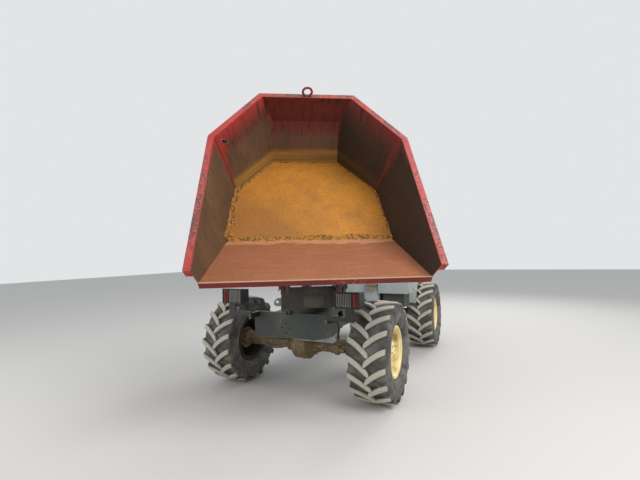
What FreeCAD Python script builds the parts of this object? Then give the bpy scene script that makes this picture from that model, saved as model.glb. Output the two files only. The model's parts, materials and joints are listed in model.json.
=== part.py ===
"""Articulated site dumper with a swivel skip, in millimetres, +Z up, facing -Y.

The machine's left side is +X. The skip stands slewed and tipped, as it was parked.
"""
import FreeCAD
import Part
import Sketcher
import math
import os

from FreeCAD import Placement, Rotation, Vector

# Driving dimensions: name, value in millimetres or degrees. Each name is an alias in the sheet.
SIZES = (
    # Place of the machine's centreline and front axle in the part's frame
    ("centreline_x", -313.05),
    ("front_axle_y", -778.8),
    # Clearances and pins that many pieces share
    ("seat_clearance", 0.3),
    ("running_clearance", 0.05),
    ("working_clearance", 8.0),
    # Running gear
    ("wheelbase", 2616.0),
    ("track", 1887.0),
    ("tyre_radius", 537.5),
    ("tyre_width", 430.0),
    ("tyre_bulge_radius", 395.0),
    ("groove_depth", 44.0),
    ("tread_edge", 190.0),
    ("shoulder_drop", 11.0),
    ("shoulder_radius", 452.0),
    ("lug_width", 58.0),
    ("lug_foot_width", 74.0),
    ("lug_overlap", 24.0),
    ("lug_bend", 85.0),
    ("lug_sweep_bend", 10.2),
    ("lug_sweep_edge", 16.6),
    ("bead_radius", 254.0),
    ("flange_radius", 283.0),
    ("flange_width", 14.0),
    ("rim_width", 340.0),
    ("rim_wall", 12.0),
    ("disc_inset", 85.0),
    ("disc_dish", 35.0),
    ("disc_thickness", 16.0),
    ("disc_flat_radius", 165.0),
    ("hub_radius", 105.0),
    ("hub_length", 92.0),
    ("hub_cap_radius", 78.0),
    ("hub_cap_chamfer", 20.0),
    ("axle_tube_radius", 78.0),
    ("axle_flange_radius", 130.0),
    ("axle_hub_length", 120.0),
    ("axle_neck_radius", 98.0),
    ("axle_neck_length", 90.0),
    ("banjo_radius", 178.0),
    ("banjo_half_width", 80.0),
    ("banjo_shoulder", 186.0),
    ("banjo_nose_radius", 92.0),
    ("banjo_nose_length", 118.0),
    # Front chassis
    ("chassis_bottom", 660.0),
    ("chassis_height", 268.0),
    ("chassis_half_width", 290.0),
    ("chassis_plate", 20.0),
    ("yoke_length", 408.0),
    ("saddle_half_length", 95.0),
    ("saddle_slope", 50.0),
    ("saddle_pad_width", 50.0),
    ("window_front", 330.0),
    ("window_length", 190.0),
    ("window_pitch", 270.0),
    ("window_margin", 62.0),
    ("front_plate_half_width", 549.0),
    ("front_plate_face", 250.0),
    ("front_plate_drop", 26.0),
    ("front_plate_thickness", 40.0),
    ("front_plate_corner", 40.0),
    ("bolt_circle_x", -107.9),
    ("bolt_circle_drop", 176.3),
    ("bolt_circle", 110.0),
    ("bolt_hole_radius", 8.75),
    ("clevis_x", -63.0),
    ("clevis_gap", 34.0),
    ("clevis_ear", 14.0),
    ("clevis_height", 54.0),
    ("pivot_pin_radius", 40.0),
    ("pivot_boss_radius", 95.0),
    ("pivot_plate_thickness", 35.0),
    ("pivot_tube_radius", 80.0),
    ("lamp_inner", 600.0),
    ("lamp_width", 280.0),
    ("lamp_depth", 150.0),
    ("lamp_rise", 107.0),
    ("lamp_height", 175.0),
    ("lamp_face", 450.0),
    ("lamp_wall", 12.0),
    ("lens_recess", 14.0),
    ("side_lens_width", 92.0),
    ("lamp_stub_inset", 30.0),
    ("lamp_stub_width", 40.0),
    ("lamp_stub_drop", 60.0),
    ("lamp_bar_thickness", 20.0),
    ("lamp_post_width", 90.0),
    ("lamp_post_inset", 80.0),
    ("slew_axis_y", 75.0),
    ("slew_ring_radius", 320.0),
    ("slew_ring_height", 45.0),
    # Turret and skip hinge
    ("turret_bottom", 1020.0),
    ("turret_base_thickness", 25.0),
    ("turret_half_width", 310.0),
    ("turret_plate", 25.0),
    ("turret_front", 570.0),
    ("turret_rear", 500.0),
    ("turret_box_height", 180.0),
    ("turret_tail_height", 90.0),
    ("turret_slope_end", 180.0),
    ("turret_slope_start", 420.0),
    ("tie_eye_reach", 335.0),
    ("tie_eye_width", 85.0),
    ("tie_eye_height", 92.0),
    ("tie_eye_plate", 20.0),
    ("tie_eye_hole", 17.0),
    ("hinge_reach", 1000.0),
    ("hinge_height", 1300.0),
    ("hinge_boss_radius", 75.0),
    ("hinge_pin_radius", 30.0),
    ("hinge_pin_entry", 20.0),
    ("hinge_pin_head", 12.0),
    # Skip, in its own frame: floor plane, forward from the floor's front fold
    ("slew_angle", 32.0),
    ("tip_angle", 51.9),
    ("fold_reach", 916.0),
    ("fold_height", 1740.0),
    ("floor_half_width", 816.0),
    ("floor_length", 1230.0),
    ("side_toe_in", 3.55),
    ("side_flare", 10.7),
    ("front_slope", 26.2),
    ("lip_reach", 704.0),
    ("quarter_angle", 36.8),
    ("quarter_reach", 1048.0),
    ("quarter_flare", 7.2),
    ("rear_flare", 14.1),
    ("rear_fold_height", 481.0),
    ("rear_return", 11.1),
    ("rim_height", 606.0),
    ("rim_slope", 8.4),
    ("skip_plate", 8.0),
    ("rim_band", 58.0),
    ("rim_depth", 70.0),
    ("lip_bar_depth", 45.0),
    ("lip_bar_thickness", 20.0),
    ("eye_radius", 48.0),
    ("eye_bar_radius", 12.0),
    ("eye_centre_height", 50.0),
    ("eye_foot_angle", 75.0),
    # Skip carrier arms and lugs
    ("arm_offset", 250.0),
    ("arm_plate", 25.0),
    ("arm_rear", 700.0),
    ("arm_front", 560.0),
    ("arm_nose", 60.0),
    ("arm_waist", 110.0),
    ("cross_bar_width", 90.0),
    ("cross_bar_height", 40.0),
    ("cross_bar_inset", 150.0),
    ("ram_lug_reach", 103.0),
    ("ram_lug_drop", 152.0),
    ("ram_lug_gap", 80.0),
    ("ram_lug_plate", 20.0),
    ("ram_lug_radius", 50.0),
    ("ram_lug_foot", 220.0),
    # Tip ram
    ("ram_base_reach", 350.0),
    ("ram_base_height", 1130.0),
    ("ram_base_lug_plate", 20.0),
    ("ram_base_lug_foot", 70.0),
    ("ram_base_lug_head", 34.0),
    ("ram_barrel_radius", 55.0),
    ("ram_barrel_length", 900.0),
    ("ram_gland_radius", 62.0),
    ("ram_gland_length", 70.0),
    ("ram_rod_radius", 32.0),
    ("ram_rod_length", 800.0),
    ("ram_eye_radius", 45.0),
    ("ram_eye_width", 60.0),
    ("ram_pin_radius", 20.0),
    # Steering ram
    ("steer_base_x", 350.0),
    ("steer_base_gap", 692.0),
    ("steer_eye_x", 300.0),
    ("steer_eye_gap", 100.0),
    ("steer_height", 735.0),
    ("steer_barrel_radius", 32.0),
    ("steer_barrel_length", 560.0),
    ("steer_gland_radius", 37.0),
    ("steer_gland_length", 40.0),
    ("steer_rod_radius", 16.0),
    ("steer_rod_length", 520.0),
    ("steer_eye_radius", 30.0),
    ("steer_eye_width", 36.0),
    ("steer_pin_radius", 12.5),
    ("steer_lug_gap", 48.0),
    ("steer_lug_plate", 14.0),
    # Rear chassis
    ("rail_offset", 190.0),
    ("rail_width", 57.0),
    ("rail_bottom", 640.0),
    ("rail_height", 190.0),
    ("tongue_length", 172.0),
    ("tongue_half_width", 55.0),
    ("rear_overhang", 764.0),
    ("rear_plate_thickness", 20.0),
    ("rear_plate_half_width", 360.0),
    ("rear_plate_drop", 120.0),
    ("cross_member", 60.0),
    ("bracket_width", 50.0),
    ("bracket_height", 40.0),
    # Driver's platform
    ("deck_rise", 20.0),
    ("deck_thickness", 8.0),
    ("deck_half_width", 520.0),
    ("deck_gap", 237.0),
    ("deck_length", 475.0),
    ("console_width", 300.0),
    ("console_depth", 190.0),
    ("console_height", 480.0),
    ("console_slope", 60.0),
    ("cowl_half_width", 455.0),
    ("cowl_height", 340.0),
    ("cowl_plate", 6.0),
    ("cowl_lip", 24.0),
    ("cowl_wing", 260.0),
    ("cowl_wing_drop", 120.0),
    ("hose_x", 352.0),
    ("hose_rise", 245.0),
    ("hose_radius", 9.0),
    ("hose_loop_radius", 72.0),
    ("hose_pitch", 24.0),
    ("hose_lean", 25.0),
    ("hose_entry_angle", 10.0),
    ("manifold_depth", 36.0),
    ("manifold_height", 34.0),
    ("column_radius", 22.0),
    ("column_length", 190.0),
    ("column_lean", 26.8),
    ("steering_wheel_radius", 180.0),
    ("steering_wheel_tube", 14.0),
    ("steering_wheel_rise", 205.0),
    ("steering_hub_radius", 40.0),
    ("spoke_width", 26.0),
    ("spoke_thickness", 8.0),
    # Seat
    ("seat_width", 480.0),
    ("seat_base_height", 330.0),
    ("seat_base_inset", 20.0),
    ("seat_base_taper", 50.0),
    ("seat_overhang", 40.0),
    ("seat_cushion_thickness", 110.0),
    ("seat_rounding", 38.0),
    ("seat_depth", 400.0),
    ("seat_back_thickness", 110.0),
    ("seat_back_height", 420.0),
    ("seat_back_lean", 30.0),
    # Engine and bonnet
    ("engine_gap", 440.0),
    ("engine_width", 370.0),
    ("engine_length", 640.0),
    ("engine_height", 520.0),
    ("engine_rise", 85.0),
    ("bonnet_gap", 420.0),
    ("bonnet_rear_gap", 40.0),
    ("bonnet_half_width", 400.0),
    ("bonnet_rise", 55.0),
    ("bonnet_height", 475.0),
    ("bonnet_plate", 6.0),
    ("bonnet_rounding", 60.0),
    ("bonnet_slope_height", 80.0),
    ("bonnet_tail_drop", 190.0),
    ("bonnet_tail_length", 90.0),
    ("bonnet_front_opening", 200.0),
    ("louvre_length", 150.0),
    ("louvre_height", 14.0),
    ("louvre_pitch", 42.0),
    ("louvre_low", 150.0),
    ("grille_half_width", 230.0),
    ("grille_height", 14.0),
    ("bonnet_hinge_gap", 18.0),
    ("bonnet_hinge_rise", 47.0),
    ("bonnet_pin_radius", 6.0),
    ("bonnet_knuckle_radius", 12.0),
    ("bonnet_knuckle_x", 250.0),
    ("bonnet_knuckle_length", 50.0),
    ("bonnet_hinge_lug", 8.0),
    # Roll bar
    ("roll_tube", 66.0),
    ("roll_half_width", 370.0),
    ("roll_gap", 55.0),
    ("roll_hinge_rise", 60.0),
    ("roll_pin_drop", 20.0),
    ("roll_pin_radius", 14.0),
    ("roll_height", 1260.0),
    ("roll_corner", 150.0),
    ("roll_eye_width", 50.0),
    ("roll_eye_radius", 40.0),
    ("roll_post_half", 40.0),
    ("roll_fork_plate", 12.0),
    # Rear fittings
    ("mudguard_gap", 82.5),
    ("mudguard_width", 400.0),
    ("mudguard_plate", 5.0),
    ("mudguard_rise", 250.0),
    ("mudguard_flat", 290.0),
    ("tank_inner", 460.0),
    ("tank_width", 440.0),
    ("tank_height", 215.0),
    ("tank_gap", 212.0),
    ("tank_tyre_gap", 118.5),
    ("tank_rise", 135.0),
    ("tank_rounding", 45.0),
    ("tank_cap_radius", 38.0),
    ("tank_cap_height", 28.0),
    ("pedestal_inset", 60.0),
    ("hitch_drop", 80.0),
    ("hitch_pin_radius", 16.0),
    ("hitch_jaw", 70.0),
    ("hitch_ear", 25.0),
    ("hitch_reach", 120.0),
    ("hitch_half_width", 70.0),
    ("hitch_pin_reach", 80.0),
    ("rear_lamp_x", 300.0),
    ("rear_lamp_width", 120.0),
    ("rear_lamp_height", 60.0),
    ("rear_lamp_depth", 45.0),
    ("rear_lamp_drop", 50.0),
    ("exhaust_gap", 60.0),
    ("exhaust_radius", 22.0),
    ("exhaust_back", 250.0),
    ("exhaust_rise", 36.0),
    ("exhaust_height", 780.0),
    ("silencer_radius", 45.0),
    ("silencer_rise", 130.0),
    ("silencer_length", 420.0),
)

LUGS = 18
RIM_FLATS = 2 * LUGS
FORWARD = Vector(0, -1, 0)
ACROSS = (1, 0, 0)
UP = (0, 0, 1)
LEFT, RIGHT = 1, -1
SIDES = (LEFT, RIGHT)

doc = FreeCAD.newDocument("site_dumper")
sheet = doc.addObject("Spreadsheet::Sheet", "sizes")
nodes = []


def formula_of(value):
    """Give the sheet formula of a size, or the digits of a plain number."""
    return value.formula if isinstance(value, Size) else f"({float(value):.9f})"


class Size(float):
    """A number that keeps the sheet formula it comes from."""

    def __new__(cls, value, formula):
        made = float.__new__(cls, value)
        made.formula = formula
        return made

    def __add__(self, other):
        return Size(float(self) + float(other), f"({self.formula} + {formula_of(other)})")

    def __radd__(self, other):
        return Size(float(other) + float(self), f"({formula_of(other)} + {self.formula})")

    def __sub__(self, other):
        return Size(float(self) - float(other), f"({self.formula} - {formula_of(other)})")

    def __rsub__(self, other):
        return Size(float(other) - float(self), f"({formula_of(other)} - {self.formula})")

    def __mul__(self, other):
        return Size(float(self) * float(other), f"({self.formula} * {formula_of(other)})")

    def __rmul__(self, other):
        return Size(float(other) * float(self), f"({formula_of(other)} * {self.formula})")

    def __truediv__(self, other):
        return Size(float(self) / float(other), f"({self.formula} / {formula_of(other)})")

    def __neg__(self):
        return Size(-float(self), f"(0 - {self.formula})")


class Sheet:
    """The sizes by name, each tied to its cell, and the places that follow from them."""


def fill_sheet():
    """Write every driving dimension into the sheet and return them by name."""
    named = Sheet()
    for row, (name, value) in enumerate(SIZES, start=1):
        sheet.set(f"A{row}", name)
        sheet.set(f"B{row}", str(value))
        sheet.setAlias(f"B{row}", name)
        setattr(named, name, Size(value, f"sizes.{name}"))
    doc.recompute()
    return named


def add_places(d):
    """Work out the places that line up with other pieces: y from the front axle, z from the ground."""
    d.pivot_y = d.wheelbase / 2
    d.chassis_top = d.chassis_bottom + d.chassis_height
    d.chassis_rear = d.pivot_y - d.yoke_length
    d.lamp_bottom = d.chassis_top + d.lamp_rise
    d.turret_box_top = d.turret_bottom + d.turret_box_height
    d.rail_top = d.rail_bottom + d.rail_height
    d.rail_front = d.pivot_y + d.tongue_length
    d.rear_end = d.wheelbase + d.rear_overhang
    d.steer_base_y = d.pivot_y + d.steer_base_gap
    d.steer_eye_y = d.pivot_y - d.steer_eye_gap
    over_ram = d.steer_height + d.steer_gland_radius + d.working_clearance + d.deck_thickness
    d.deck_height = max(d.rail_top + d.deck_rise, over_ram)
    d.deck_front = d.pivot_y + d.deck_gap
    d.deck_rear = d.deck_front + d.deck_length
    d.cowl_top = d.deck_height + d.cowl_height
    d.console_top = d.deck_height + d.console_height
    d.seat_base_top = d.deck_height + d.seat_base_height
    d.engine_bottom = d.rail_bottom + d.engine_rise
    d.engine_front = d.deck_rear + d.engine_gap
    d.bonnet_front = d.deck_rear + d.bonnet_gap
    d.bonnet_rear = d.rear_end - d.bonnet_rear_gap
    d.bonnet_bottom = d.deck_height + d.bonnet_rise
    d.bonnet_top = d.bonnet_bottom + d.bonnet_height
    d.bonnet_hinge_y = d.rear_end - d.bonnet_hinge_gap
    d.bonnet_hinge_height = d.deck_height + d.bonnet_hinge_rise
    d.roll_y = d.bonnet_front - d.roll_gap
    d.roll_hinge_height = d.bonnet_top + d.roll_hinge_rise
    d.roll_pin_height = d.roll_hinge_height - d.roll_pin_drop
    d.roll_top = d.roll_hinge_height + d.roll_height
    d.tank_front = d.pivot_y + d.tank_gap
    d.tank_rear = d.wheelbase - d.tyre_radius - d.tank_tyre_gap
    d.tank_bottom = d.deck_height + d.tank_rise
    d.tank_top = d.tank_bottom + d.tank_height
    d.hitch_height = d.rail_bottom - d.hitch_drop
    d.axle_seat = d.tyre_radius + d.axle_tube_radius + d.seat_clearance
    d.disc_face = d.rim_width / 2 - d.disc_inset - d.disc_dish
    return d


def bind(thing, prop, value):
    """Set a property to a size and tie it to the sheet."""
    if "." not in prop:
        setattr(thing, prop, float(value))
    if isinstance(value, Size):
        thing.setExpression(prop, value.formula)


def place(thing, at, turn=None):
    """Put a thing at a point whose coordinates are sizes, turned as given."""
    thing.Placement = Placement(Vector(*[float(v) for v in at]), turn or Rotation())
    for axis, value in zip("xyz", at):
        bind(thing, f"Placement.Base.{axis}", value)
    return thing


def block(low, high):
    """Give a box between two corners."""
    thing = doc.addObject("Part::Box", "block")
    for prop, a, b in zip(("Length", "Width", "Height"), low, high):
        bind(thing, prop, b - a)
    return place(thing, low)


def rod(radius, start, direction, length):
    """Give a round bar from a start point in a direction."""
    thing = doc.addObject("Part::Cylinder", "bar")
    bind(thing, "Radius", radius)
    bind(thing, "Height", length)
    return place(thing, start, Rotation(Vector(*UP), Vector(*direction)))


def joined(*things):
    """Weld things into one."""
    whole = doc.addObject("Part::MultiFuse", "joined")
    whole.Shapes = list(things)
    whole.Refine = True
    return whole


def grouped(*things):
    """Keep like pieces that don't touch together in one node."""
    whole = doc.addObject("Part::Compound", "grouped")
    whole.Links = list(things)
    return whole


def without(thing, *tools):
    """Cut tools out of a thing."""
    tool = tools[0] if len(tools) == 1 else joined(*tools)
    left = doc.addObject("Part::Cut", "cut")
    left.Base = thing
    left.Tool = tool
    return left


def outline(body, role, points):
    """Draw a closed outline on one of the body's planes, tied to the sheet."""
    sketch = body.newObject("Sketcher::SketchObject", "outline")
    plane = next(item for item in body.Origin.OriginFeatures if item.Role == role)
    sketch.AttachmentSupport = (plane, [""])
    sketch.MapMode = "FlatFace"
    count = len(points)
    for i, (a, b) in enumerate(points):
        c, d = points[(i + 1) % count]
        sketch.addGeometry(Part.LineSegment(Vector(a, b, 0), Vector(c, d, 0)), False)
    for i in range(count):
        sketch.addConstraint(Sketcher.Constraint("Coincident", i, 2, (i + 1) % count, 1))
    for i, point in enumerate(points):
        for kind, value in zip(("DistanceX", "DistanceY"), point):
            number = sketch.addConstraint(Sketcher.Constraint(kind, -1, 1, i, 1, float(value)))
            if isinstance(value, Size):
                sketch.setExpression(f"Constraints[{number}]", value.formula)
    return sketch


# Each plane's sketch: the axis that its pad follows, and whether the pad is reversed to follow it
PADS = {"XY_Plane": ("z", False), "XZ_Plane": ("y", True), "YZ_Plane": ("x", False)}


def slab(role, points, start, length, rounding=None):
    """Pad an outline from a start along the plane's positive normal axis.

    rounding is (radius, corners), where corners are the numbers of the outline's points that are rounded.
    """
    body = doc.addObject("PartDesign::Body", "slab")
    letter, reverse = PADS[role]
    axis = "xyz".index(letter)
    sketch = outline(body, role, points)
    pad = body.newObject("PartDesign::Pad", "pad")
    pad.Profile = sketch
    pad.Reversed = reverse
    bind(pad, "Length", length)
    at = [0.0, 0.0, 0.0]
    at[axis] = start
    place(body, at)
    if rounding:
        radius, corners = rounding
        round_corners(body, pad, axis, radius, [points[i] for i in corners])
    return body


def round_corners(body, pad, axis, radius, corners):
    """Round the padded edges that stand on the given corners of the outline."""
    doc.recompute()
    flat = [i for i in range(3) if i != axis]
    names = []
    for number, edge in enumerate(pad.Shape.Edges, start=1):
        ends = [vertex.Point for vertex in edge.Vertexes]
        if len(ends) != 2 or abs(ends[0][axis] - ends[1][axis]) < 1e-6:
            continue
        if any(math.dist((ends[0][flat[0]], ends[0][flat[1]]), corner) < 1e-3 for corner in corners):
            names.append(f"Edge{number}")
    fillet = body.newObject("PartDesign::Fillet", "rounding")
    fillet.Base = (pad, names)
    bind(fillet, "Radius", radius)
    body.Tip = fillet


def turned(points, at, direction):
    """Turn an outline of (radius, height) about its axis and point the axis in a direction."""
    body = doc.addObject("PartDesign::Body", "turned")
    sketch = outline(body, "XZ_Plane", points)
    spin = body.newObject("PartDesign::Revolution", "spin")
    spin.Profile = sketch
    spin.ReferenceAxis = (sketch, ["V_Axis"])
    spin.Angle = 360
    return place(body, at, Rotation(Vector(*UP), Vector(*direction)))


def solid_of(faces):
    """Close a set of flat faces, each a loop of points, into a solid."""
    shell = Part.makeShell([Part.Face(Part.makePolygon(list(loop) + [loop[0]])) for loop in faces])
    shell.sewShape()
    solid = Part.makeSolid(shell.Shells[0])
    if solid.Volume < 0:
        solid.reverse()
    return solid


def skin(rings, closed):
    """Close rings of points, each as long as the next, into a solid of triangles.

    A closed skin runs on from the last ring to the first, an open one gets a flat end at each.
    """
    faces = []
    count = len(rings[0])
    pairs = list(zip(rings, rings[1:])) + ([(rings[-1], rings[0])] if closed else [])
    for one, two in pairs:
        for i in range(count):
            k = (i + 1) % count
            faces.append((one[i], one[k], two[k]))
            faces.append((one[i], two[k], two[i]))
    if not closed:
        faces += [tuple(rings[0]), tuple(rings[-1])]
    return solid_of(faces)


def bent_bar(centre, across, above, radius, bar, first, last, steps, flats):
    """Give a bar bent round a centre from one angle to another, in the plane of across and above."""
    beside = across.cross(above)
    whole_turn = abs(last - first - 360.0) < 1e-9
    rings = []
    for step in range(steps if whole_turn else steps + 1):
        angle = math.radians(first + (last - first) * step / steps)
        out = across * math.cos(angle) + above * math.sin(angle)
        ring = []
        for flat in range(flats):
            turn = 2 * math.pi * (flat + 0.5) / flats
            ring.append(centre + out * (radius + bar * math.cos(turn)) + beside * (bar * math.sin(turn)))
        rings.append(ring)
    return skin(rings, whole_turn)


def shaped(shape, placement=None):
    """Keep a shape made by hand as an object of the document."""
    thing = doc.addObject("Part::Feature", "shaped")
    thing.Shape = shape
    if placement:
        thing.Placement = placement
    return thing


def node(name, thing, placement=None):
    """Name a finished sub-part, stand it where it belongs and list it for export."""
    thing.Label = name
    if placement:
        thing.Placement = placement
    nodes.append(thing)
    return thing


D = add_places(fill_sheet())
CX = D.centreline_x
AXLE = D.front_axle_y


def lateral(value):
    """Place across the machine, from its centreline."""
    return CX + value


def along(value):
    """Place along the machine, rearwards from the front axle."""
    return AXLE + value


def beside(side, inner, width):
    """Give the low edge of a span that starts at inner and is width wide, on one side of zero."""
    return inner if side == LEFT else -inner - width


class Plane:
    """A wall's inner plane: outward normal and distance, with the plate outside it."""

    def __init__(self, normal, point):
        self.normal = Vector(*normal).normalize()
        self.reach = self.normal.dot(Vector(*point))

    def moved(self, distance):
        """Give the same plane moved outwards."""
        return Plane(self.normal, self.normal * (self.reach + distance))


def meet(one, two, three):
    """Give the point where three planes meet."""
    a, b, c = one.normal, two.normal, three.normal
    span = a.dot(b.cross(c))
    total = b.cross(c) * one.reach + c.cross(a) * two.reach + a.cross(b) * three.reach
    return total * (1.0 / span)


def plate(wall, edges, low, high):
    """Make the part of a wall between two offsets, bounded in turn by edge planes.

    Each edge is (plane, offset at low, offset at high), so that folds are mitred.
    """
    loops = []
    for depth, which in ((low, 1), (high, 2)):
        face = wall.moved(depth)
        sides = [edge[0].moved(edge[which]) for edge in edges]
        loops.append([meet(face, sides[i], sides[(i + 1) % len(sides)]) for i in range(len(sides))])
    inner, outer = loops
    count = len(inner)
    faces = [inner, outer]
    for i in range(count):
        k = (i + 1) % count
        faces.append([inner[i], inner[k], outer[k], outer[i]])
    return solid_of(faces)


def skip_planes():
    """Give the skip's planes in its own frame: forward is -Y, up is +Z, floor at zero."""
    def tan(degrees):
        return math.tan(math.radians(degrees))

    turn = math.radians(D.quarter_angle)
    found = {
        "floor": Plane((0, 0, -1), (0, 0, 0)),
        "front": Plane((0, -tan(D.front_slope), -1), (0, 0, 0)),
        "rear_low": Plane((0, 1, -tan(D.rear_flare)), (0, D.floor_length, 0)),
        "rim": Plane((0, -tan(D.rim_slope), 1), (0, 0, D.rim_height)),
        "lip": Plane((0, -1, tan(D.front_slope)), (0, -D.lip_reach, D.lip_reach * tan(D.front_slope))),
        "rim_end": Plane((0, -1, 0), (0, -D.lip_reach, 0)),
    }
    fold = Vector(0, D.floor_length + tan(D.rear_flare) * D.rear_fold_height, D.rear_fold_height)
    found["rear_high"] = Plane((0, 1, tan(D.rear_return)), fold)
    for name, side in (("left", LEFT), ("right", RIGHT)):
        found[f"side_{name}"] = Plane((side, tan(D.side_toe_in), -tan(D.side_flare)),
                                      (side * D.floor_half_width, 0, 0))
        reach = Vector(side * math.cos(turn), math.sin(turn), 0) * float(D.quarter_reach)
        found[f"quarter_{name}"] = Plane((side * math.cos(turn), math.sin(turn), -tan(D.quarter_flare)),
                                         reach)
    return found


def skip_placement():
    """Stand the skip's own frame in the machine: tipped about its cross axis, then slewed."""
    slew = Rotation(Vector(*UP), D.slew_angle)
    tip = Rotation(Vector(*ACROSS), D.tip_angle)
    out = slew.multVec(FORWARD * float(D.fold_reach))
    base = Vector(CX, AXLE + D.slew_axis_y, D.fold_height) + out
    return Placement(base, slew * tip)


def turret_placement():
    """Stand the turret's own frame on the slew axis, turned by the slew angle."""
    return Placement(Vector(CX, AXLE + D.slew_axis_y, 0), Rotation(Vector(*UP), D.slew_angle))


def slewed(reach, height):
    """Give the machine point at a reach ahead of the slew axis, in the slewed direction."""
    return turret_placement().multVec(Vector(0, -reach, height))


def hinge_in_skip():
    """Give the skip hinge in the skip's own frame."""
    return skip_placement().inverse().multVec(slewed(D.hinge_reach, D.hinge_height))


# Skip
def make_skip():
    """Make the skip's plates, rim, lip bar, carrier and lifting eye."""
    p = skip_planes()
    t = float(D.skip_plate)
    at = skip_placement()

    def sheet_plate(wall, *edges):
        square = ("rim", "lip", "rim_end")
        return plate(p[wall], [(p[n], 0.0, 0.0 if n in square else t) for n in edges], 0.0, t)

    def pair(wall, *edges):
        made = []
        for name, other in (("left", "right"), ("right", "left")):
            made.append(sheet_plate(f"{wall}_{name}", *[edge.format(name, other) for edge in edges]))
        return Part.makeCompound(made)

    floor = sheet_plate("floor", "front", "side_left", "quarter_left", "rear_low", "quarter_right",
                        "side_right")
    node("skip_floor", shaped(floor), at)
    node("skip_front_wall", shaped(sheet_plate("front", "floor", "side_left", "lip", "side_right")), at)
    node("skip_side_walls", shaped(pair("side", "floor", "quarter_{0}", "rim", "rim_end", "lip", "front")),
         at)
    node("skip_quarter_walls", shaped(pair("quarter", "floor", "rear_low", "rear_high", "rim", "side_{0}")),
         at)
    low = sheet_plate("rear_low", "floor", "quarter_left", "rear_high", "quarter_right")
    high = sheet_plate("rear_high", "rear_low", "quarter_left", "rim", "quarter_right")
    node("skip_rear_wall", shaped(low.fuse(high).removeSplitter()), at)
    make_rim(p, t, at)
    under_lip = p["lip"].moved(-float(D.lip_bar_thickness))
    bar = plate(p["front"], [(p["lip"], 0.0, 0.0), (p["side_left"], t, t), (under_lip, 0.0, 0.0),
                             (p["side_right"], t, t)], t, t + float(D.lip_bar_depth))
    node("skip_lip_bar", shaped(bar), at)


def make_rim(p, t, at):
    """Make the rim: a band outside the walls that follows their top edges."""
    band = float(D.rim_band)
    under = p["rim"].moved(-float(D.rim_depth))
    under.normal, under.reach = under.normal * -1, -under.reach
    bars = []
    # wall, wall before it, wall after it
    runs = (("side_left", "rim_end", "quarter_left"), ("quarter_left", "side_left", "rear_high"),
            ("rear_high", "quarter_left", "quarter_right"), ("quarter_right", "rear_high", "side_right"),
            ("side_right", "quarter_right", "rim_end"))
    for wall, first, last in runs:
        ends = [(p[n], 0.0, 0.0) if n == "rim_end" else (p[n], t, band) for n in (first, last)]
        bars.append(plate(p[wall], [(p["rim"], 0.0, 0.0), ends[0], (under, 0.0, 0.0), ends[1]], t, band))
    node("skip_rim", shaped(bars[0].multiFuse(bars[1:]).removeSplitter()), at)


def make_carrier():
    """Make the arms under the skip that hang it on the hinge, and the ram's lugs, in the skip's frame."""
    hinge = hinge_in_skip()
    t = float(D.skip_plate)
    slope = math.radians(D.front_slope)
    fold = -t * math.tan(slope / 2)
    boss = float(D.hinge_boss_radius)
    rear, reach = D.arm_rear, -D.arm_front

    def under_front(y):
        return -t / math.cos(slope) - y * math.tan(slope)

    arm = [(rear, -t), (fold, -t), (reach, under_front(reach)),
           (reach - D.arm_nose / 3, under_front(reach) - D.arm_nose),
           (hinge.y - boss, hinge.z), (hinge.y - boss * 0.5, hinge.z - boss * 0.86),
           (hinge.y + boss * 0.6, hinge.z - boss * 0.8),
           (-fold + D.ram_base_lug_plate, -t - D.arm_waist), (rear, -t - D.arm_nose)]
    lug_y, lug_z, lug = -D.ram_lug_reach, -D.ram_lug_drop, D.ram_lug_radius
    ear = [(D.arm_nose, -t), (fold, -t), (-D.ram_lug_foot, under_front(-D.ram_lug_foot)),
           (lug_y - lug * 0.96, lug_z), (lug_y, lug_z - lug * 0.96), (lug_y + lug * 0.8, lug_z - lug * 0.52),
           (D.arm_nose, -t - D.arm_nose)]
    pieces = []
    for side in SIDES:
        start = beside(side, D.arm_offset - D.arm_plate / 2, D.arm_plate)
        pieces.append(slab("YZ_Plane", arm, start, D.arm_plate))
        pieces.append(rod(boss, (start, hinge.y, hinge.z), ACROSS, D.arm_plate))
        start = beside(side, D.ram_lug_gap / 2, D.ram_lug_plate)
        pieces.append(slab("YZ_Plane", ear, start, D.ram_lug_plate))
        pieces.append(rod(lug, (start, lug_y, lug_z), ACROSS, D.ram_lug_plate))
    inner = D.arm_offset - D.arm_plate / 2
    for y in (D.working_clearance, rear - D.cross_bar_inset):
        pieces.append(block((-inner, y, -t - D.cross_bar_height), (inner, y + D.cross_bar_width, -t)))
    bore = rod(D.hinge_pin_radius + D.running_clearance, (-D.arm_offset - D.arm_plate, hinge.y, hinge.z),
               ACROSS,
               (D.arm_offset + D.arm_plate) * 2)
    node("skip_carrier", without(joined(*pieces), bore), skip_placement())


def make_lifting_eye():
    """Make the round-bar lifting eye that stands on the rear rim."""
    p = skip_planes()
    foot = meet(p["rim"], p["rear_high"].moved(float(D.rim_band) / 2), Plane(ACROSS, (0, 0, 0)))
    up = p["rim"].normal
    loop = bent_bar(foot + up * float(D.eye_centre_height), Vector(*ACROSS), up, float(D.eye_radius),
                    float(D.eye_bar_radius), -float(D.eye_foot_angle), 180 + float(D.eye_foot_angle), 14, 8)
    reach = 4 * float(D.eye_radius)
    below = Part.makeBox(reach, reach, reach, Vector(-reach / 2, -reach / 2, -reach))
    below.Placement = Placement(foot, Rotation(Vector(*UP), up))
    node("skip_lifting_eye", shaped(loop.cut(below)), skip_placement())


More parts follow.
